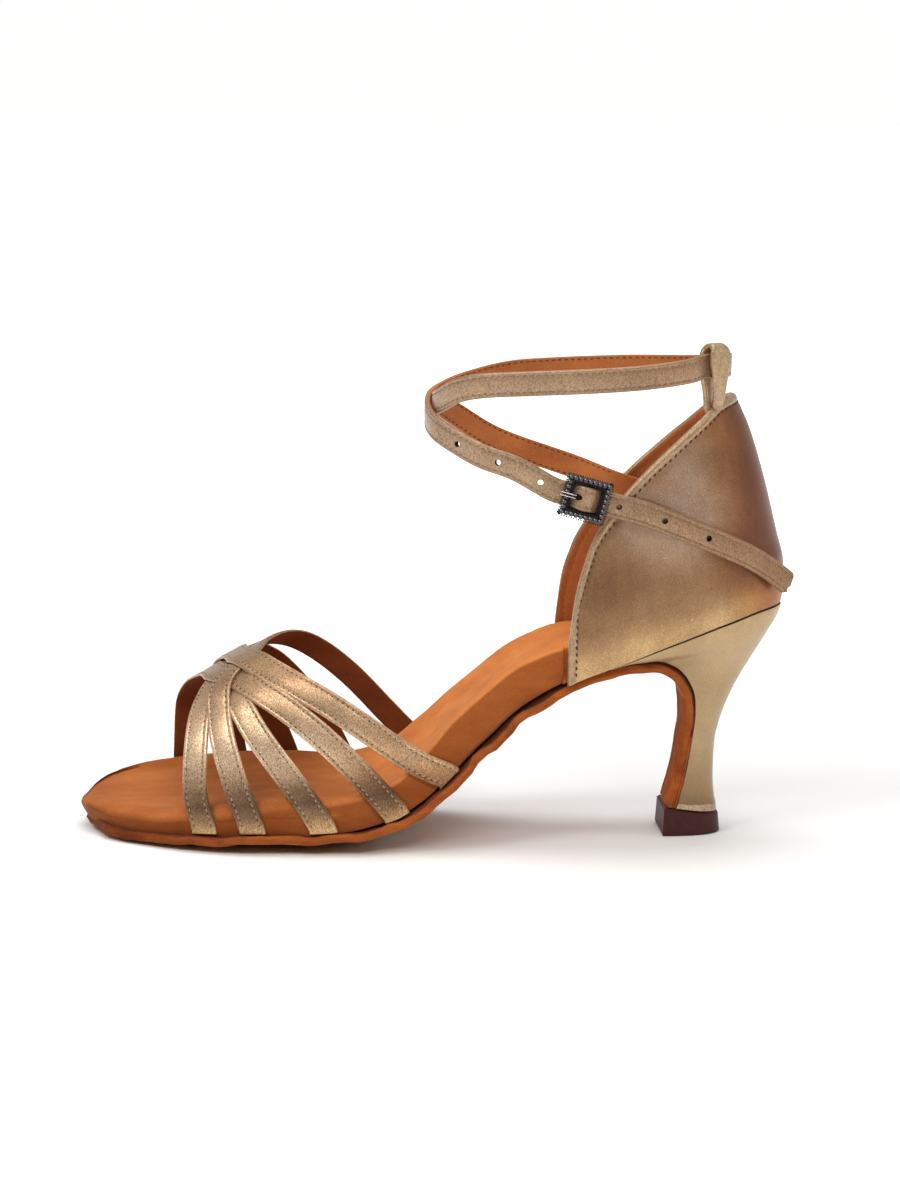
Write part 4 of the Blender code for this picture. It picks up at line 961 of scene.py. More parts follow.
# Near-black walls of the strap's holes: painted shade
PAINTED_HOLE_SHADE = plain("painted_hole_shade", (0.030, 0.015, 0.010), 0.9)
DARK_METAL = plain("dark_metal", (0.013, 0.012, 0.014), 0.36, 0.5, 0.2, 1500.0)
WIRE_METAL = plain("wire_metal", (0.62, 0.61, 0.58), 0.22, 1.0, 0.05, 1200.0)
STONE = plain("stone", (0.036, 0.037, 0.044), 0.12, 0.60, 0.0, 700.0, Coat_Weight=0.5)
# Dark red for the pad behind the buckle's window: painted shade
PAINTED_WINDOW_SHADE = plain("painted_window_shade", (0.070, 0.020, 0.012), 0.9, 0.0, 0.5, 700.0)


# Insole
BOWL = (-0.8, -0.65, -0.5, -0.33, -0.16, 0.0, 0.16, 0.33, 0.5, 0.65, 0.8)
UNDER = (0.82, 0.5, 0, -0.5, -0.82)
SOCK_SOFTNESS = ((90.0, 3.0, 0.00022), (260.0, 5.0, 0.00008))


def insole_section(along):
    """Cross-section of the cupped insole: outer side, bowl, inner side and underside."""
    in_counter = along > COUNTER_FRONT
    inset = COUNTER_WALL + 2 * GAP if in_counter else LEDGE
    widest = LAST.read("half_width", COUNTER_FRONT) if in_counter else 0.5
    half = half_width(along) * (1 - inset / (widest * BALL_WIDTH))
    x = place(along) + TOE_LEDGE * (1 - along) - (COUNTER_WALL + 2 * GAP) * along
    middle = sideways(along)
    bottom = base(along)
    foot = half * LAST.read("underside", along) if not in_counter else half
    raised = edge_rise(along, foot)
    rims = [bottom + LAST.read(side, along) * SIDE_HEIGHT for side in ("near_rim", "far_rim")]
    rounding = min(RIM_ROUNDING * (0.8 + 1.1 * (1 - smooth_step((along - 0.26) / 0.2))), half / 3)
    dish = LAST.read("dish", along) * SIDE_HEIGHT
    sides = []
    for rim in rims:
        low = bottom + raised
        tall = rim - low
        edge = [(foot, low), (foot + 0.55 * (half - foot), low + 0.10 * tall),
                (half - 0.0003, low + 0.30 * tall), (half + 0.0001, low + 0.5 * tall),
                (half, low + 0.7 * (tall - rounding)), (half, rim - rounding)]
        for degrees in (22, 45, 68, 90):
            turn = math.radians(degrees)
            edge.append((half - rounding * (1 - math.cos(turn)),
                         rim - rounding * (1 - math.sin(turn))))
        sides.append(edge)
    level, tilt = sum(rims) / 2 - dish, (rims[1] - rims[0]) / 2
    bowl = [(middle + share * half, level + tilt * share + dish * abs(share) ** 2.5)
            for share in BOWL]
    under = [(middle + share * foot, bottom + edge_rise(along, share * foot)) for share in UNDER]
    outer = [(middle - y, z) for y, z in sides[0]]
    inner = [(middle + y, z) for y, z in sides[1][::-1]]
    spots = []
    for y, z in outer + bowl + inner + under:
        spot = Vector((x, y, z))
        if z > bottom + raised + 0.001:
            soft = waves(spot, SOCK_SOFTNESS)
            spot += Vector((0, math.copysign(soft, y - middle), soft))
        spots.append(spot)
    return spots


# The toe's end: the insole's sides stand out and hang down over the outsole there
NOSE = 0.0052                # length over which the front end is rounded from top to bottom
NOSE_HEIGHT = 0.30           # of the very front, as a share of the insole's
NOSE_LEVEL = 0.36            # where the front's middle lies, between the underside and the top
TOE_FULLNESS = 0.0014        # how far its sides stand out
FULLNESS = (0.5, 0.8, 1.0, 1.0, 0.9, 0.7, 0.5, 0.3, 0.12, 0.0)
TOE_DROP = 0.0014            # how far its lower edge hangs down
DROP = (1.0, 0.7, 0.45, 0.2)
FULL_UNTIL, FULL_FADE = 0.28, 0.14
TIP_SECTIONS = 7             # sections that draw together into the round tip of the toe


def round_tip(spot, i, middle, reach):
    tip = max(0.0, 1 - i / TIP_SECTIONS)
    spot.y = middle + (spot.y - middle) * math.sqrt(1 - (0.97 * tip) ** 2)
    spot.x -= reach * tip ** 2


def make_insole():
    stations = rounded_stations(INSOLE_STATIONS, 0.0006, 0.9988)
    stations = ([s for s in stations if s < COUNTER_FRONT - 0.002]
                + [COUNTER_FRONT - 0.0005, COUNTER_FRONT + 0.0005]
                + [s for s in stations if s > COUNTER_FRONT + 0.002])
    rings = [insole_section(s) for s in stations]
    count = len(rings[0])
    far = count - len(UNDER) - 1        # lowest point of the inner side
    fullness = [0.0] * count
    for k, share in enumerate(FULLNESS):
        fullness[k] = fullness[far - k] = share
    plain_rings = [[spot.copy() for spot in ring] for ring in rings]
    nose = rings[0][0].x
    for i, ring in enumerate(rings):
        fade = 1 - smooth_step((stations[i] - FULL_UNTIL) / FULL_FADE)
        before, after = plain_rings[max(0, i - 1)], plain_rings[min(len(rings) - 1, i + 1)]
        inside = min(1.0, (ring[0].x - nose) / NOSE)
        round_off = NOSE_HEIGHT + (1 - NOSE_HEIGHT) * math.sqrt(1 - (1 - inside) ** 2)
        centre = ring[0].z + (ring[far // 2].z - ring[0].z) * NOSE_LEVEL
        for k, spot in enumerate(ring):
            run = (after[k] - before[k]) * (-1 if k < count // 2 else 1)
            out = Vector((-run.y, run.x, 0.0)).normalized() if i else Vector((-1.0, 0.0, 0.0))
            spot.z = centre + (spot.z - centre) * round_off
            hang = min(k, far - k)
            if 0 <= hang < len(DROP):
                spot.z -= TOE_DROP * DROP[hang] * fade
            spot += out * TOE_FULLNESS * fade * fullness[k]
        middle = sum(spot.y for spot in ring) / count
        for spot in ring:
            round_tip(spot, i, middle, 0.0006)
    piece_from("insole_suede", "insole", loft(rings), [SOCK_SUEDE], 50)


# Outsole, with a cut edge that waves in and out
SOLE_ACROSS = (-1, -0.985, -0.95, -0.88, -0.78, -0.64, -0.5, -0.25, 0,
               0.25, 0.5, 0.64, 0.78, 0.88, 0.95, 0.985, 1)
# Up the cut edge: depth from the walking face, and how far out
SOLE_LIP = ((0.0003, 0.0), (0.0008, 0.00030), (0.0014, 0.00040), (0.0020, 0.00020),
            (0.0025, -0.00030))
LIP_HEIGHT = 0.0028          # of the sole under the insole's edge
EDGE_WAVE = ((70.0, 1.0, 0.0018), (190.0, 2.0, 0.0010))
EDGE_RISE = ((80.0, 7.0, 0.0020), (230.0, 8.0, 0.0008))
TOE_SPREAD = 0.0022          # how far the edge stands out round the toe
TOE_BACK = 0.0020            # how far the tip is drawn back


def make_outsole():
    line = outsole_line(SOLE_STATIONS)
    normals = line_normals(line)
    rings = []
    for i, ((x, height, half, middle, along), inward) in enumerate(zip(line, normals)):
        on_breast = smooth_step((i - SOLE_STATIONS + 6) / 8)
        loose = 0.55 + 0.75 * smooth_step((along - 0.30) / 0.15)
        loose *= (1 - 0.65 * smooth_step((along - 0.62) / 0.08)) * (1 - 0.6 * on_breast)
        spread = TOE_SPREAD * (1 - smooth_step((along - 0.18) / 0.17)) * min(1.0, half / 0.016)

        def point(share, depth, grow=0.0):
            spot = Vector((x, middle + share * (half + grow),
                           height + edge_rise(along, share * half)))
            edge = smooth_step((abs(share) - 0.8) / 0.2)
            wave, rise = waves(spot, EDGE_WAVE), waves(spot, EDGE_RISE)
            spot.x += TOE_BACK * (1 - smooth_step(along / 0.04))
            out = abs(wave * loose - spread * (1.0 if depth > 0 else 0.8))
            spot.y += math.copysign(out * edge, share)
            shift = depth + max(-0.0004, rise * edge * loose)
            if depth == 0:
                shift += 0.0013 * on_breast * max(0.0, (abs(share) - 0.5) / 0.5) ** 2
            spot += inward * shift
            spot.z = max(0.0, spot.z)
            round_tip(spot, i, middle, 0.0010)
            return spot
        walking = [point(share, 0.0, -0.0003 if abs(share) == 1 else 0.0) for share in SOLE_ACROSS]
        flush = 0.985 + 0.013 * on_breast
        inside = []
        for share in SOLE_ACROSS[::-1]:
            at_edge = abs(share) > 0.93 and not on_breast
            inside.append(point(share * flush, LIP_HEIGHT if at_edge else SOLE_THICKNESS))
        edge_up, edge_down = ([point(side, depth, grow) for depth, grow in SOLE_LIP[::side]]
                              for side in (1, -1))
        rings.append(walking + edge_up + inside + edge_down)
    for spot in rings[-1]:
        spot.z = tip_top(spot.x) + GAP
    across = len(SOLE_ACROSS)
    first_inside = across + len(SOLE_LIP)

    def paint_at(i, k):
        if i >= SOLE_STATIONS - 12 and k < first_inside:
            return 3
        if 1 <= k < across - 2:
            return 1
        within = first_inside - 1 <= k <= first_inside + across - 1
        return 2 if within and i < SOLE_STATIONS else 0
    piece_from("outsole_suede", "outsole", loft(rings, index_of=paint_at),
               [SOLE_SUEDE, WALKING_SUEDE, SOLE_CREASE_SHADE, BREAST_SUEDE], 60)


# Heel and its wear piece
GROOVE_DEPTH = 0.0007        # of the seam under the counter, deepest at the back
EASE_ROWS = 16               # rows over which the heel's curved top turns into its level rows


def make_heel():
    turns = [math.pi * i / HALF_ROUND for i in range(HALF_ROUND + 1)]
    line = outsole_line(HEEL_LINE_STATIONS)
    rings, groove, lifts = [], [], []
    for i in range(HEEL_ROWS + 1):
        down = (i / HEEL_ROWS) ** 1.15
        front = heel_front(down, line)
        back = Vector((place(HEEL.read("along", down)), 0, HEEL.read("height", down) * SEAT_HEIGHT))
        half = HEEL.read("half_width", down) * BALL_WIDTH
        power = HEEL.read("squareness", down)
        if i == 0:
            back.z = base(1.0) - GAP
        ring = []
        for k, turn in enumerate(turns):
            reach = math.sin(turn)
            spot = front.lerp(back, reach)
            width = half * (1 - reach ** power) ** (1 / power)
            along = spot.x / LENGTH + 0.5
            if 0 < i < EASE_ROWS:
                kept = (1 - i / EASE_ROWS) ** 2
                spot.z += lifts[k] * kept
                width += (half_width(min(1.0, along)) - width) * kept
            if i == 0:
                lifts.append(base(along) - GAP - spot.z)
                spot.z = base(along) - GAP
                width = half_width(along)
                groove.append(GROOVE_DEPTH * smooth_step((along - 0.74) / 0.24))
            if i == HEEL_ROWS:
                spot.z = tip_top(spot.x) + GAP
            spot.y = math.copysign(width, math.cos(turn))
            if i >= HEEL_ROWS - 1:
                spot.y *= 1.03 + 0.02 * wobble(spot, 900.0, 5.0)
                spot.x += 0.0003 * reach
                spot.z += 0.0004 * wobble(spot, 700.0, 3.0) * (i < HEEL_ROWS)
            ring.append(spot)
        breast = [Vector((front.x, share * half, ring[0].z)) for share in (-0.5, 0.0, 0.5)]
        rings.append(ring + breast)
    top = rings.pop(0)
    groove += [0.0] * 3
    centre = top[HALF_ROUND // 2].x - 0.02
    sunk, lowered = [], []
    for spot, deep in zip(top, groove):
        inward = Vector((centre - spot.x, -spot.y, 0.0)).normalized() * min(deep, GROOVE_DEPTH)
        sunk.append(spot + inward)
        lowered.append(spot - Vector((0, 0, deep)))
    notch = [spot + inner - outer for spot, inner, outer in zip(lowered, sunk, top)]
    # The groove's two rows take the dark seam paint: painted shade
    skin = loft([sunk, notch, lowered] + rings,
                index_of=lambda i, k: 1 if i < 2 else (2 if i >= HEEL_ROWS + 1 else 0))
    piece_from("heel_satin", "heel", skin, [HEEL_SATIN, PAINTED_SEAM_SHADE, RIM_SATIN], 50)


# The wear piece's edge from the floor up: height, how far out, whether counted from the top
TIP_LEVELS = ((0.0, -0.0001, 0), (0.00015, 0.00025, 0), (0.0005, 0.0004, 0), (0.0007, -0.0001, 1),
              (0.0003, -TIP_FLARE + 0.0001, 1), (0.0, -TIP_FLARE - 0.0001, 1))


def make_top_piece():
    front = place(TONGUE.columns["along"][-1])
    rings = []
    for height, grow, from_top in TIP_LEVELS:
        ring = []
        half = TIP_WIDTH / 2 + grow
        start, reach = front - TIP_FLARE - grow, TIP_LENGTH + 2 * grow
        for i in range(TIP_HALF_ROUND + 1):
            turn = math.pi * i / TIP_HALF_ROUND
            depth = math.sin(turn)
            width = half * (1 - depth ** TIP_SQUARENESS) ** (1 / TIP_SQUARENESS)
            x = start + reach * depth
            z = tip_top(x) - height if from_top else height
            ring.append(Vector((x, math.copysign(width, math.cos(turn)), z)))
        rings.append(ring)
    piece_from("top_piece_rubber", "top_piece", loft(rings), [RUBBER], 35)


# Counter: satin outside, suede lining, a folded binding along its free edge
EDGE_STEPS = (0.0, 0.0002, 0.0006, 0.0012, 0.0017, 0.0021, 0.0026, 0.0032, 0.0042, 0.0060)
OUTER_EDGE = Table("distance out", (
    (0.0, -0.00085), (0.0002, -0.0003), (0.0006, 0.00012), (0.0012, 0.00026), (0.0017, 0.00022),
    (0.0021, 0.00005), (0.0026, -0.00018), (0.0032, -0.00002), (0.0042, 0.00012), (0.0060, 0.0)))
INNER_EDGE = Table("distance out", (
    (0.0, -0.00095), (0.0002, -0.0015), (0.0006, -0.0019), (0.0012, -0.0020), (0.0017, -0.0019),
    (0.0021, -0.0018), (0.0026, -0.0016), (0.0032, -0.0018), (0.0042, -0.0018), (0.0060, -0.0018)))
# The front edge runs into the top line in one curve: distance behind the front, and how much
# higher the top line is there
CORNER_CURVE = Table("behind change", (
    (0.0, -0.0140), (0.0004, -0.0115), (0.0008, -0.0088), (0.0015, -0.0046), (0.0024, -0.0018),
    (0.0030, -0.0009), (0.0042, -0.0003), (0.0057, 0.0008), (0.0070, 0.0015), (0.0087, 0.0016),
    (0.0100, 0.0012), (0.0128, 0.0003), (0.0150, 0.0)))
# Soft folds of the satin on the outer side: from, to (x and height), depth and width
CREASES = (
    ((0.055, 0.103), (0.078, 0.088), 0.00035, 0.0040),
    ((0.050, 0.088), (0.072, 0.074), 0.00030, 0.0045),
    ((0.068, 0.120), (0.092, 0.108), 0.00025, 0.0040),
    ((0.060, 0.067), (0.088, 0.080), 0.00028, 0.0035),
    ((0.086, 0.100), (0.104, 0.092), 0.00025, 0.0040),
)


def crease_depth(x, z):
    total = 0.0
    for (x0, z0), (x1, z1), depth, width in CREASES:
        run = Vector((x1 - x0, z1 - z0))
        share = max(0.0, min(1.0, (Vector((x - x0, z - z0)) @ run) / (run @ run)))
        gap = (Vector((x - x0, z - z0)) - run * share).length
        total += depth * math.exp(-(gap / width) ** 2)
    return total


def visible_top(along, side):
    return counter_top(along, side) + CORNER_CURVE.read("change", LENGTH * (along - COUNTER_FRONT))


def counter_column(along, side):
    """A column's foot, top and how much longer its rows are because the top line slopes."""
    step = 0.003
    low, high = max(COUNTER_FRONT, along - step), min(1.0, along + step)
    one = counter_point(low, side, visible_top(low, side))
    other = counter_point(high, side, visible_top(high, side))
    flat = math.hypot(other.x - one.x, other.y - one.y)
    bottom, top = base(along), visible_top(along, side)
    most = 0.75 * (top - bottom) / EDGE_STEPS[-1]
    return bottom, top, min(4.0, most, math.hypot(flat, other.z - one.z) / max(flat, 1e-6))


def counter_spot(along, side, height, from_edge, inner=False):
    point, out = counter_frame(along, side, height)
    table = INNER_EDGE if inner else OUTER_EDGE
    offset = table.read("out", from_edge)
    if not inner:
        fade = smooth_step((from_edge - 0.004) / 0.004)
        offset -= crease_depth(point.x, point.z) * fade * (1 if side < 0 else 0.6)
        offset += wobble(point, 45.0, 11.0) * 0.00035 * fade
    return point + out * offset, out


def nearer(one, other):
    if min(one, other) <= 0:
        return 0.0
    return (one ** -4 + other ** -4) ** -0.25


COUNTER_REACH = LENGTH * (1 - COUNTER_FRONT)
COUNTER_EASING = 1.2         # brings the columns closer together near the front edge
SEAM_DISTANCE = 0.0026       # from the counter's free edge to its stitches
SEAM_FOOT = 0.0015           # above the insole, where they start
SEAM_STEPS = 20
BINDING_WIDTH = 0.0022       # on the outer face
BINDING_TURN = 0.0004        # on the lining
COUNTER_STITCH = (0.0022, 0.0015, 0.00036, 0.35)        # pitch, length, radius and slant


def eased(share):
    return math.sin(math.pi / 2 * share) ** COUNTER_EASING


def column_station(share):
    return COUNTER_FRONT + (1 - COUNTER_FRONT) * eased(share)


def share_behind(distance):
    """The column's share at a distance behind the front edge."""
    return math.asin((distance / COUNTER_REACH) ** (1 / COUNTER_EASING)) / (math.pi / 2)


def counter_seam(shares, inner):
    """The stitches' line: up the outer front edge, along the top line and down the inner one."""
    at_front = column_station(share_behind(SEAM_DISTANCE))
    path = []
    for side in (-1, 1):
        bottom, top, _ = counter_column(at_front, side)
        foot = bottom + SEAM_FOOT
        rise = top - SEAM_DISTANCE * 3 - foot
        half = [(at_front, side, foot + rise * k / SEAM_STEPS) for k in range(SEAM_STEPS + 1)]
        for share in shares:
            station = column_station(share)
            _, high, stretch = counter_column(station, side)
            half.append((station, side, high - SEAM_DISTANCE * stretch))
        path += half[::-side]
    line = []
    for station, side, height in path:
        spot, out = counter_spot(station, side, height, SEAM_DISTANCE, inner)
        line.append((spot, -out if inner else out))
    return line


def make_counter():
    near = [share_behind(distance) for distance in EDGE_STEPS]
    shares = near + [near[-1] + (1 - near[-1]) * i / COUNTER_COLUMNS
                     for i in range(1, COUNTER_COLUMNS + 1)]
    rings, kinds = [], []
    for share, side in [(s, -1) for s in shares] + [(s, 1) for s in shares[-2::-1]]:
        along = column_station(share)
        bottom, top, stretch = counter_column(along, side)
        last = top - EDGE_STEPS[-1] * stretch
        levels = [(bottom + (last - bottom) * k / COUNTER_ROWS, 1.0) for k in range(COUNTER_ROWS)]
        levels += [(top - d * stretch, d) for d in EDGE_STEPS[::-1]]
        outer, inner, kind = [], [], []
        for height, from_top in levels:
            edge = nearer(from_top, COUNTER_REACH * eased(share))
            outer.append(counter_spot(along, side, height, edge)[0])
            inner.append(counter_spot(along, side, height, edge, True)[0])
            kind.append(edge)
        inner[0].z = outer[0].z = bottom
        rings.append(outer + inner[::-1])
        kinds.append(kind + kind[::-1])
    half = len(rings[0]) // 2

    def paint_at(i, k):
        if kinds[i][k] < (BINDING_WIDTH if k < half else BINDING_TURN):
            return 1
        return 0 if k < half else 2
    piece_from("counter_satin", "counter", loft(rings, index_of=paint_at),
               [COUNTER_SATIN, BINDING_SATIN, LINING_SUEDE], 60)
    behind = [s for s in shares if s > near[-2]]
    for name, inner, paint in (("counter_stitches", False, THREAD),
                               ("lining_stitches", True, TAN_THREAD)):
        stitches = stitch_row(counter_seam(behind, inner), *COUNTER_STITCH)
        piece_from(name, None, stitches, [paint])


# Vamp straps: folded edges, a stitch row along each, suede inside
def whole_profile(top, under):
    return [*top, *((-share, depth) for share, depth in top[::-1]), *under]


# Share of the half width and height: half of the upper face, and the whole underside
STRAP_TOP = ((-1.0, 0.00055), (-0.985, 0.00092), (-0.93, 0.00112), (-0.84, 0.00118),
             (-0.74, 0.00115), (-0.66, 0.00106), (-0.58, 0.00114), (-0.40, 0.00120), (-0.14, 0.00125))
STRAP_PROFILE = whole_profile(STRAP_TOP, (
    (0.985, 0.00022), (0.93, 0.00003), (0.6, 0.0), (0.2, 0.0), (-0.2, 0.0), (-0.6, 0.0),
    (-0.93, 0.00003), (-0.985, 0.00022)))
STITCH_SHARE = 0.66
STITCH_LEVEL = 0.00112
STITCH_PITCH = 0.0020
LAYER_LIFT = 0.00002         # keeps straps that touch apart
BLUR = ((-1, 0.12), (-0.5, 0.23), (0, 0.30), (0.5, 0.23), (1, 0.12))
BLUR_SPREAD = 7.0            # degrees


def strap_place(middle, angle, layer):
    """Where a strap's middle runs at an angle round the foot, its half width and its rise."""
    def blurred(at):
        spread = min(BLUR_SPREAD, at, 180.0 - at)
        return sum(weight * middle.read("along", at + share * spread) for share, weight in BLUR)
    along = blurred(angle)
    forward, round_foot, _ = foot_frame(along, angle)
    low, high = max(0.0, angle - 1.0), min(180.0, angle + 1.0)
    drift = (blurred(high) - blurred(low)) / (high - low)
    heading = (forward * drift + round_foot).normalized()
    half = STRAP_WIDTH / 2 / forward.cross(heading).length
    return along, half, middle.read("lifts", angle) * STRAP_LIFT + layer * LAYER_LIFT


def make_vamp():
    bodies, threads, pits = [], [], []
    for layer, name in enumerate("eacbd"):
        middle = Table(STRAP_COLUMNS, STRAPS[name])
        rings = []
        rows = {-STITCH_SHARE: [], STITCH_SHARE: []}
        for i in range(STRAP_STEPS + 1):
            angle = 180.0 * i / STRAP_STEPS
            along, half, raised = strap_place(middle, angle, layer)
            ring = []
            for share, depth in STRAP_PROFILE:
                out = foot_frame(along + share * half, angle)[2]
                point = foot_point(along + share * half, angle)
                soft = wobble(point, 120.0, layer) * 0.00020 if depth > 0.0004 else 0.0
                ring.append(point + out * (raised + depth + soft))
            for share, row in rows.items():
                out = foot_frame(along + share * half, angle)[2]
                point = foot_point(along + share * half, angle)
                row.append((point + out * (raised + STITCH_LEVEL), out))
            rings.append(ring)
        down = Vector((0, 0, STRAP_FOOT_GAP - 0.0001))
        first, last = ([spot - down for spot in rings[end]] for end in (0, -1))
        bodies.append(loft([first, *rings, last],
                           index_of=lambda i, k: 0 if k < 2 * len(STRAP_TOP) else 1))
        for row in rows.values():
            threads.append(stitch_row(row, STITCH_PITCH, 0.0012, 0.00020))
            # Dark pits at each stitch's ends: painted shade in the stitch holes
            pits.append(stitch_row(row, STITCH_PITCH, 0.0007, 0.00022, 0.0, start=1.0))
    for name, node_name, skins, paints, sharp in (
            ("vamp_satin", "vamp_straps", bodies, [BRIGHT_SATIN, VAMP_LINING_PAINTED_SHADE], 60),
            ("vamp_stitches", None, threads, [GOLD_THREAD], 40),
            ("vamp_stitch_holes", None, pits, [PAINTED_SEAM_SHADE], 40)):
        piece_from(name, node_name, merged(skins), paints, sharp)


# Ankle strap
def band_section(route, i, profile):
    point, out = route[i]
    before, after = route[max(0, i - 1)][0], route[min(len(route) - 1, i + 1)][0]
    run = (after - before).normalized()
    out = (out - run * out.dot(run)).normalized()
    across = run.cross(out)
    return [point + across * share * BAND_WIDTH / 2 + out * depth * BAND_THICKNESS
            for share, depth in profile]


# Share of the half width and of the thickness: half of the upper face, and the whole underside
BAND_TOP = ((-1.0, 0.0), (-0.98, 0.25), (-0.93, 0.44), (-0.84, 0.52), (-0.74, 0.50),
            (-0.66, 0.42), (-0.58, 0.49), (-0.38, 0.53), (-0.12, 0.55))
BAND_PROFILE = whole_profile(BAND_TOP, (
    (0.98, -0.3), (0.93, -0.47), (0.6, -0.5), (0.2, -0.5), (-0.2, -0.5), (-0.6, -0.5),
    (-0.93, -0.47), (-0.98, -0.3)))
TAIL_CUT = Table("share further", (
    (-1.0, -0.0006), (-0.62, 0.0008), (-0.3, -0.0003), (0.1, 0.0009), (0.5, -0.0001),
    (0.75, 0.0007), (1.0, -0.0004)))
TAIL_BEND = 0.020            # over this length the tail's end droops
TAIL_DROOP = 0.0026
HOLE_SHIFTS = {-3: 0.0012, -2: 0.0020, -1: 0.0026}      # of the holes behind the buckle, towards it
HOLE_SHIFT = 0.0013          # of those in front of it, away from it
HOLE_SIDES = 20
PUNCH_REACH = 1.6            # of a punch to either side of the strap's middle, in thicknesses
BAND_STITCH_PITCH = 0.0021
TAIL_STITCH_END = 0.0030     # between the last stitch and the tail's cut


def punched(strap, skins):
    """Cuts the holes through the strap, with dark walls painted as the shade inside the holes: its third paint.
    """
    points, faces, _ = merged(skins)
    cutter = add_object("punches", mesh_from("punches", (points, faces, [2] * len(faces))))
    cut = strap.modifiers.new("holes", "BOOLEAN")
    cut.operation = "DIFFERENCE"
    cut.solver = "EXACT"
    cut.object = cutter
    bpy.context.view_layer.update()
    graph = bpy.context.evaluated_depsgraph_get()
    done = bpy.data.meshes.new_from_object(strap.evaluated_get(graph))
    strap.modifiers.clear()
    strap.data = done
    done.set_sharp_from_angle(angle=math.radians(50))
    bpy.data.objects.remove(cutter)


def make_ankle_strap(buckle):
    route, travelled = band_route(buckle, BAND_SPACING)
    for i, gone in enumerate(travelled):
        near_end = max(0.0, 1 - (travelled[-1] - gone) / TAIL_BEND)
        route[i][0].z -= TAIL_DROOP * near_end ** 2
    rings = [band_section(route, i, BAND_PROFILE) for i in range(len(route))]
    run = (route[-1][0] - route[-2][0]).normalized()
    for back, ring in enumerate(rings[:-4:-1]):
        for spot, (share, _) in zip(ring, BAND_PROFILE):
            spot += run * TAIL_CUT.read("further", share) * (1 - back / 3)
    strap = piece_from("ankle_satin", "ankle_strap",
                       loft(rings, index_of=lambda i, k: 0 if k < 2 * len(BAND_TOP) else 1),
                       [BAND_SATIN, LINING_SUEDE, PAINTED_HOLE_SHADE], 50)

    crest = buckle.at(0, buckle.strap_over)
    bar = travelled[min(range(len(route)), key=lambda i: (route[i][0] - crest).length)]
    hole = buckle.at(-PRONG_HOLE, (buckle.strap_over + buckle.strap_under) / 2)
    spots = [(hole, buckle.out, buckle.run, PRONG_HOLE_STRETCH)]
    for k in range(HOLES_BEFORE - HOLE_COUNT, HOLES_BEFORE):
        if k != 0:
            back = HOLE_SHIFTS.get(k, HOLE_SHIFT)
            spots.append((*on_route(route, travelled, bar - k * HOLE_PITCH - back), 1.0))
    punches = []
    for spot, out, run, stretch in spots:
        across = out.cross(run).normalized()
        ends = [circle(spot + out * end * PUNCH_REACH * BAND_THICKNESS, run * stretch, across,
                       HOLE_DIAMETER / 2, HOLE_SIDES) for end in (-1, 1)]
        punches.append(loft(ends))
    punched(strap, punches)

    def stitched(first, free, share, level, length, side):
        """Stitches along the strap up to a distance from its end."""
        row = [(band_section(route, i, [(share, level)])[0], route[i][1] * side)
               for i in range(first, len(route)) if travelled[-1] - travelled[i] > free]
        return stitch_row(row, BAND_STITCH_PITCH, length, 0.0002), row
    rows, inner_rows = [], []
    for share in (-STITCH_SHARE, STITCH_SHARE):
        stitches, row = stitched(0, TAIL_STITCH_END, share, 0.44, 0.0014, 1)
        rows.append(stitches)
        inner_rows.append(stitched(len(row) // 40, TAIL_LENGTH, share * 1.15, -0.5, 0.0012, -1)[0])
    piece_from("ankle_stitches", None, merged(rows), [BAND_THREAD])
    piece_from("ankle_inner_stitches", None, merged(inner_rows), [THREAD])


# Width of the loop from its sewn end to its crown
LOOP_SHAPE = Table("share width", (
    (0.0, 0.40), (0.12, 0.50), (0.24, 0.76), (0.34, 1.02), (0.40, 0.98), (0.434, 0.86),
    (0.466, 0.70), (0.5, 0.60)))
LOOP_DOME = 0.0014           # how much higher than the bare loop the stuffed crown stands
LOOP_ENDS = (0.0016, 0.0008, 0.0)                       # of its legs on the counter, downward


def make_loop():
    """The loop at the back: a folded band whose legs are sewn on both faces of the counter."""
    seat, out, height = loop_seat()
    along = Vector((-out.y, out.x, 0))
    half = COUNTER_WALL / 2 + GAP + LOOP_THICKNESS / 2
    room = BAND_THICKNESS / 2 + GAP + LOOP_EASE + LOOP_THICKNESS / 2
    ring_height = next(row[1] for row in RING if row[2] is None)
    top = SEAT_HEIGHT + ring_height * COUNTER_HEIGHT + BAND_WIDTH / 2 + LOOP_ROOM + LOOP_DOME
    shoulder = height + LOOP_SHOULDER
    legs = []
    for side in (-1, 1):
        leg = []
        for down in LOOP_ENDS:
            face, face_out = counter_frame(LOOP_STATION, -1, height - down)
            depth = half + (LOOP_EASE if side < 0 else 0.0)
            leg.append(face - face_out * (COUNTER_WALL / 2 - side * depth))
        halfway = (shoulder + top - room) / 2
        for level, wider in ((shoulder, 1.0), (halfway, 1.08), (top - room, 1.0)):
            leg.append(Vector((seat.x, seat.y, level)) + out * room * side * wider)
        legs.append(leg)
    crown = Vector((seat.x, seat.y, top - room))
    arch = []
    for degrees in range(30, 180, 30):
        turn = math.radians(degrees)
        arch.append(crown - out * room * math.cos(turn) + Vector((0, 0, room * math.sin(turn))))
    line = [(spot, out) for spot in legs[0] + arch + legs[1][::-1]]
    route, travelled = curve_through(line, LOOP_SPACING)
    spots = [spot for spot, _ in route]
    rings = []
    for i, spot in enumerate(spots):
        normal = along.cross(run_at(spots, i)).normalized() * LOOP_THICKNESS
        share = travelled[i] / travelled[-1]
        width = LOOP_WIDTH / 2 * LOOP_SHAPE.read("width", min(share, 1 - share))
        rings.append([spot + along * s * width + normal * d * (1.0 + 0.5 * (1 - s * s) * (d > 0))
                      for s, d in BAND_PROFILE])
    piece_from("loop_satin", "strap_loop", loft(rings), [BINDING_SATIN], 60)


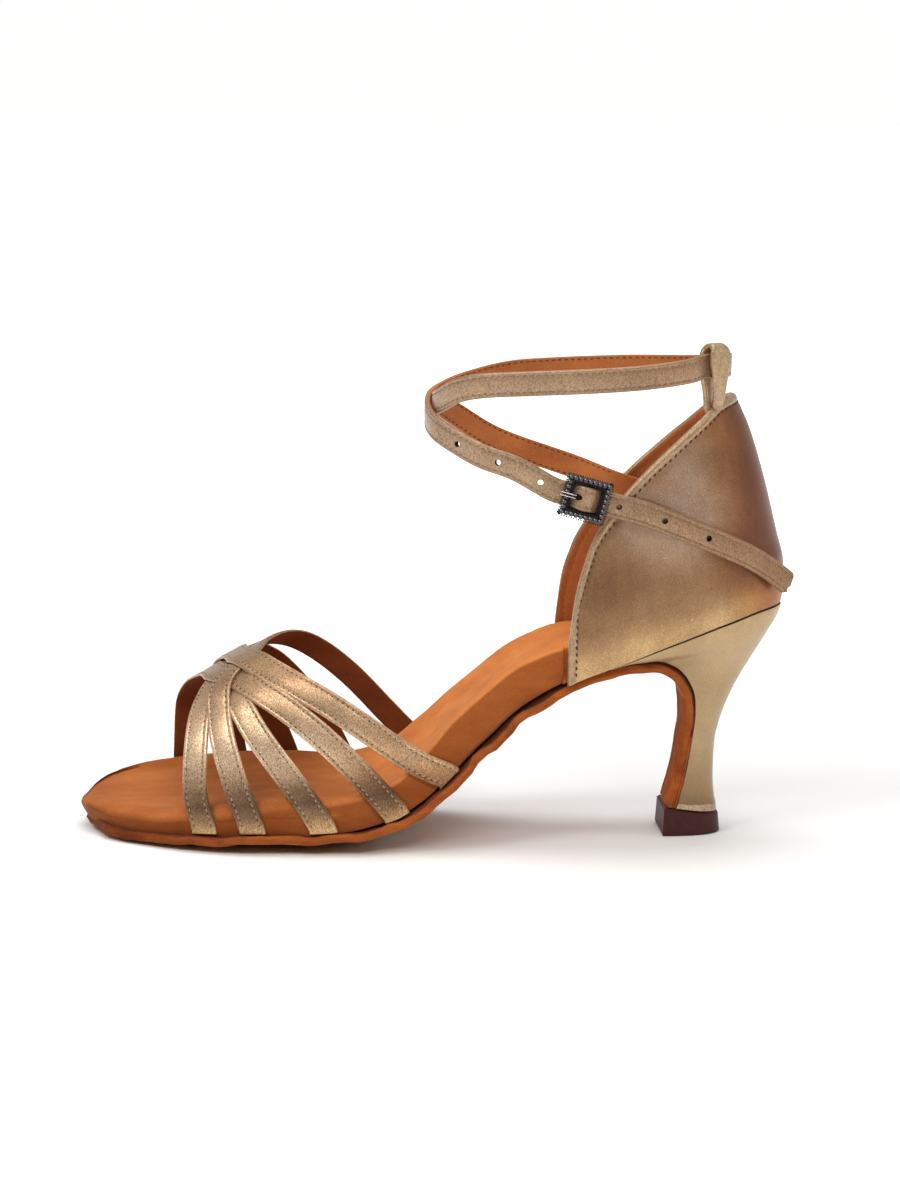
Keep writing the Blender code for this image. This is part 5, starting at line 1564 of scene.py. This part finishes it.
# Buckle
def tube(line, normals, radius, sides=16):
    rings = []
    for i, spot in enumerate(line):
        side = normals.cross(run_at(line, i)).normalized()
        rings.append(circle(spot, side, normals, radius, sides))
    return loft(rings)


CORNERS = ((-1, -1), (1, -1), (1, 1), (-1, 1))
FRAME_CORNER = 0.0007        # rounding of the frame's outer corners
RIDGE_LEVEL = 0.72           # height of the groove that holds the stones, of half the frame's
# Rings of a stone and of a bead between two stones: radius and height
STONE_RINGS = ((0.00078, -0.0004), (0.00086, 0.00005), (0.00072, 0.00038), (0.00038, 0.00062))
BEAD_RINGS = ((0.00026, -0.0003), (0.00028, 0.00006), (0.00014, 0.00024))
BEAD_OFFSET = 0.00108        # from the middle of the frame's side
BEAD_LEVEL = 0.95            # height of the beads, of half the frame's
STONES_ALONG, STONES_ACROSS = 8, 7


def studded(buckle, x, y, level, rings, sides, first=0.0):
    return loft([circle(buckle.at(x, level + height, y), buckle.run, buckle.up, radius, sides, first)
                 for radius, height in rings])


def make_buckle(buckle):
    deep = BUCKLE_THICKNESS / 2
    border = BUCKLE_BORDER
    profile = ((0.0, -deep + 0.0002), (0.0, 0.45 * deep), (0.0003, 0.85 * deep), (0.0006, deep),
               (0.0009, RIDGE_LEVEL * deep), (border - 0.0009, RIDGE_LEVEL * deep),
               (border - 0.0006, deep), (border - 0.0003, 0.85 * deep), (border, 0.45 * deep),
               (border, -deep + 0.0002), (border - 0.0002, -deep), (0.0002, -deep))
    rings = []
    for along, across in CORNERS:
        cuts = ((0, across * FRAME_CORNER), (along * FRAME_CORNER, 0))
        for cut_x, cut_y in (cuts[::-1] if along * across > 0 else cuts):
            ring = []
            for inset, depth in profile:
                ease = (1 - inset / border) + 0.0002 / FRAME_CORNER
                ring.append(buckle.at(along * (BUCKLE_LENGTH / 2 - inset) - cut_x * ease, depth,
                                      across * (BUCKLE_HEIGHT / 2 - inset) - cut_y * ease))
            rings.append(ring)
    end, bend, bar = (BUCKLE_HEIGHT - border) / 2, BAR_RADIUS, buckle.bar
    half_bar = ((-deep / 2, end), (bar + bend * 1.6, end), (bar + bend * 0.5, end - bend * 0.4),
                (bar, end - bend * 1.4))
    line = [buckle.at(0, depth, across) for depth, across in half_bar]
    line += [buckle.at(0, depth, -across) for depth, across in half_bar[::-1]]
    frame_parts = [loft(rings, closed=True), tube(line, buckle.run, BAR_RADIUS)]

    half_x, half_y = (BUCKLE_LENGTH - border) / 2, (BUCKLE_HEIGHT - border) / 2
    corners = [Vector((half_x * x, half_y * y)) for x, y in CORNERS]
    stones, beads = [], []
    for side in range(4):
        count = STONES_ACROSS if side % 2 else STONES_ALONG
        start, step = corners[side], (corners[(side + 1) % 4] - corners[side]) / count
        for i in range(count):
            x, y = start + step * i
            stones.append(studded(buckle, x, y, RIDGE_LEVEL * deep, STONE_RINGS, 8, 0.5))
            for share in (0.25, 0.75):
                for off in (-BEAD_OFFSET, BEAD_OFFSET):
                    x, y = start + step * (i + share) + Vector((off, 0) if side % 2 else (0, off))
                    beads.append(studded(buckle, x, y, BEAD_LEVEL * deep, BEAD_RINGS, 6))
    for name, node_name, skins, paint, sharp in (
            ("buckle_metal", "buckle_frame", frame_parts, DARK_METAL, 30),
            ("buckle_stones", None, stones, STONE, 12),
            ("buckle_beads", None, beads, DARK_METAL, 50)):
        piece_from(name, node_name, merged(skins), [paint], sharp)


WIRE_OFFSET = 0.00046        # of each of the prong's two wires from its middle
WIRE_SHARE = 0.42            # their radius as a share of the solid prong's


def make_prong(buckle):
    turn_radius = BAR_RADIUS + GAP + PRONG_RADIUS
    half = BUCKLE_LENGTH / 2
    over = BUCKLE_THICKNESS / 2 + GAP + PRONG_RADIUS
    turns = [math.radians(degrees) for degrees in range(20, -181, -20)]
    line = [(turn_radius * math.cos(turn), buckle.bar + turn_radius * math.sin(turn))
            for turn in turns]
    middle = (buckle.strap_over + buckle.strap_under) / 2
    line += [(-PRONG_HOLE * 0.85, (buckle.bar + middle) / 2), (-PRONG_HOLE, middle),
             (-PRONG_HOLE * 1.25, over * 0.8), (-PRONG_HOLE * 1.7, over * 1.1),
             (BUCKLE_BORDER - half, over), (-half - BUCKLE_BORDER * 0.2, over)]
    wires = [tube([buckle.at(along, depth, across) for along, depth in line], buckle.up,
                  PRONG_RADIUS * WIRE_SHARE, 12) for across in (-WIRE_OFFSET, WIRE_OFFSET)]
    piece_from("prong_wire", "buckle_prong", merged(wires), [WIRE_METAL], 40)


def make_tab(buckle):
    points = [buckle.at(0.0008, buckle.bar + buckle.fold)]
    for angle in range(90, 271, 15):
        turn = math.radians(angle)
        points.append(buckle.at(buckle.fold * math.cos(turn),
                                buckle.bar + buckle.fold * math.sin(turn)))
    points.append(buckle.at(BUCKLE_REACH * 0.55, buckle.tab))
    for share in (0.0, 0.5, 1.0):
        spot = buckle.at(BUCKLE_REACH + share * TAB_OVERLAP, buckle.tab)
        point, out = counter_at(spot.x, spot.z, -1)
        points.append(point + out * (GAP + TAB_THICKNESS / 2 + 0.0001))
    rings = []
    for i, spot in enumerate(points):
        depth = buckle.up.cross(run_at(points, i)).normalized()
        rings.append([spot + buckle.up * s * TAB_WIDTH / 2 + depth * d * TAB_THICKNESS
                      for s, d in BAND_PROFILE])
    piece_from("tab_satin", "buckle_tab", loft(rings), [BINDING_SATIN], 60)


PAD_INSET = 0.0008           # of the dark pad behind the buckle's window, from the frame's edge
PAD_THICKNESS = 0.00035


# The pad fills the buckle's window behind the strap: a dark sheet painted as the shade inside the buckle
def make_pad(buckle):
    half_x, half_y = BUCKLE_LENGTH / 2 - PAD_INSET, BUCKLE_HEIGHT / 2 - PAD_INSET
    middle = -BUCKLE_THICKNESS / 2 - 0.0002
    rings = [[buckle.at(half_x * x * grow, middle + PAD_THICKNESS * d, half_y * y * grow)
              for x, y in ((-1, -1), (0, -1), (1, -1), (1, 0), (1, 1), (0, 1), (-1, 1), (-1, 0))]
             for d, grow in ((-1, 0.97), (-0.4, 1.0), (0.4, 1.0), (1, 0.97))]
    piece_from("buckle_pad", None, loft(rings), [PAINTED_WINDOW_SHADE], 60)


make_insole()
make_outsole()
make_heel()
make_top_piece()
make_counter()
make_vamp()
the_buckle = Buckle()
make_ankle_strap(the_buckle)
make_loop()
make_buckle(the_buckle)
make_prong(the_buckle)
make_tab(the_buckle)
make_pad(the_buckle)


# Stage, light and camera
def make_stage():
    """A wide pale floor that glows faintly far from the shoe, to meet the white behind it."""
    mesh = bpy.data.meshes.new("floor")
    mesh.from_pydata([(30 * x, 30 * y, -0.0001) for x, y in CORNERS], [], [(0, 1, 2, 3)])
    paint, tree, shader, where = new_material("pale_floor", 0.7, Specular_IOR_Level=0.05)
    tone = noise_node(tree, where, 3.0)
    tree.links.new(ramp(tree, tone, ((0.3, (0.94, 0.94, 0.935)), (0.7, (0.95, 0.95, 0.945)))),
                   shader.inputs["Base Color"])
    distance = vector_math(tree, "LENGTH", where, output="Value")
    shader.inputs["Emission Color"].default_value = (1.0, 1.0, 1.0, 1.0)
    glow = grey_ramp(tree, distance, (0.20, 0.0), (0.75, 0.9))
    tree.links.new(glow, shader.inputs["Emission Strength"])
    mesh.materials.append(paint)
    add_object("floor", mesh)


def area_light(name, where, target, size, power, colour=(1.0, 1.0, 1.0)):
    light = bpy.data.lights.new(name, "AREA")
    light.shape = "RECTANGLE"
    light.size, light.size_y = size
    light.energy = power
    light.color = colour
    made = add_object(name, light)
    made.location = where
    made.rotation_mode = "QUATERNION"
    made.rotation_quaternion = (Vector(target) - Vector(where)).to_track_quat("-Z", "Y")


def make_world():
    """A white room, dark on the side that the outer face of the shoe looks at."""
    world = bpy.data.worlds.new("studio")
    bpy.context.scene.world = world
    world.use_nodes = True
    tree = world.node_tree
    direction = node(tree, "TexCoord").outputs["Generated"]
    parts = node(tree, "SeparateXYZ", {"Vector": direction}).outputs
    span = node(tree, "MapRange", {"Value": parts["Y"], "From Min": -1.0, "From Max": 1.0})
    behind = grey_ramp(tree, span.outputs["Result"], (0.0, 0.05), (0.35, 0.15), (0.62, 0.8))
    above = grey_ramp(tree, parts["Z"], (0.35, 0.0), (0.85, 0.9))
    room = tree.nodes["Background"]
    tree.links.new(mix(tree, "LIGHTEN", 1.0, behind, above), room.inputs["Color"])
    room.inputs["Strength"].default_value = 0.60
    white = node(tree, "Background", {"Color": (1.0, 1.0, 0.995, 1.0)})
    seen = node(tree, "LightPath").outputs["Is Camera Ray"]
    chosen = node(tree, "MixShader", {0: seen, 1: room.outputs[0], 2: white.outputs[0]})
    tree.links.new(chosen.outputs["Shader"], tree.nodes["World Output"].inputs["Surface"])


def make_camera():
    camera = bpy.data.cameras.new("camera")
    camera.sensor_width = 36.0
    camera.lens = LENS
    holder = add_object("camera", camera)
    up = CAMERA_BACK.cross(CAMERA_RIGHT).normalized()
    turned = Matrix((CAMERA_RIGHT, up, CAMERA_BACK)).transposed().to_4x4()
    turned.translation = EYE + SHIFT
    holder.matrix_world = turned
    bpy.context.scene.camera = holder
    bpy.context.scene.view_settings.view_transform = "Standard"


make_stage()
make_world()
# Name, place, aimed at, size, power in watts and colour
area_light("key", (-0.9, -0.7, 1.3), (0.0, 0.0, 0.06), (0.6, 0.6), 9.0, (1.0, 0.98, 0.95))
area_light("front", (0.0, -1.3, 1.35), (0.0, 0.0, 0.06), (1.4, 0.35), 9.0, (1.0, 0.98, 0.96))
area_light("top", (0.0, 0.20, 1.4), (0.0, 0.0, 0.05), (1.0, 0.6), 9.0)
area_light("side", (1.3, -0.35, 0.7), (0.02, 0.0, 0.07), (0.4, 0.8), 2.0)
make_camera()
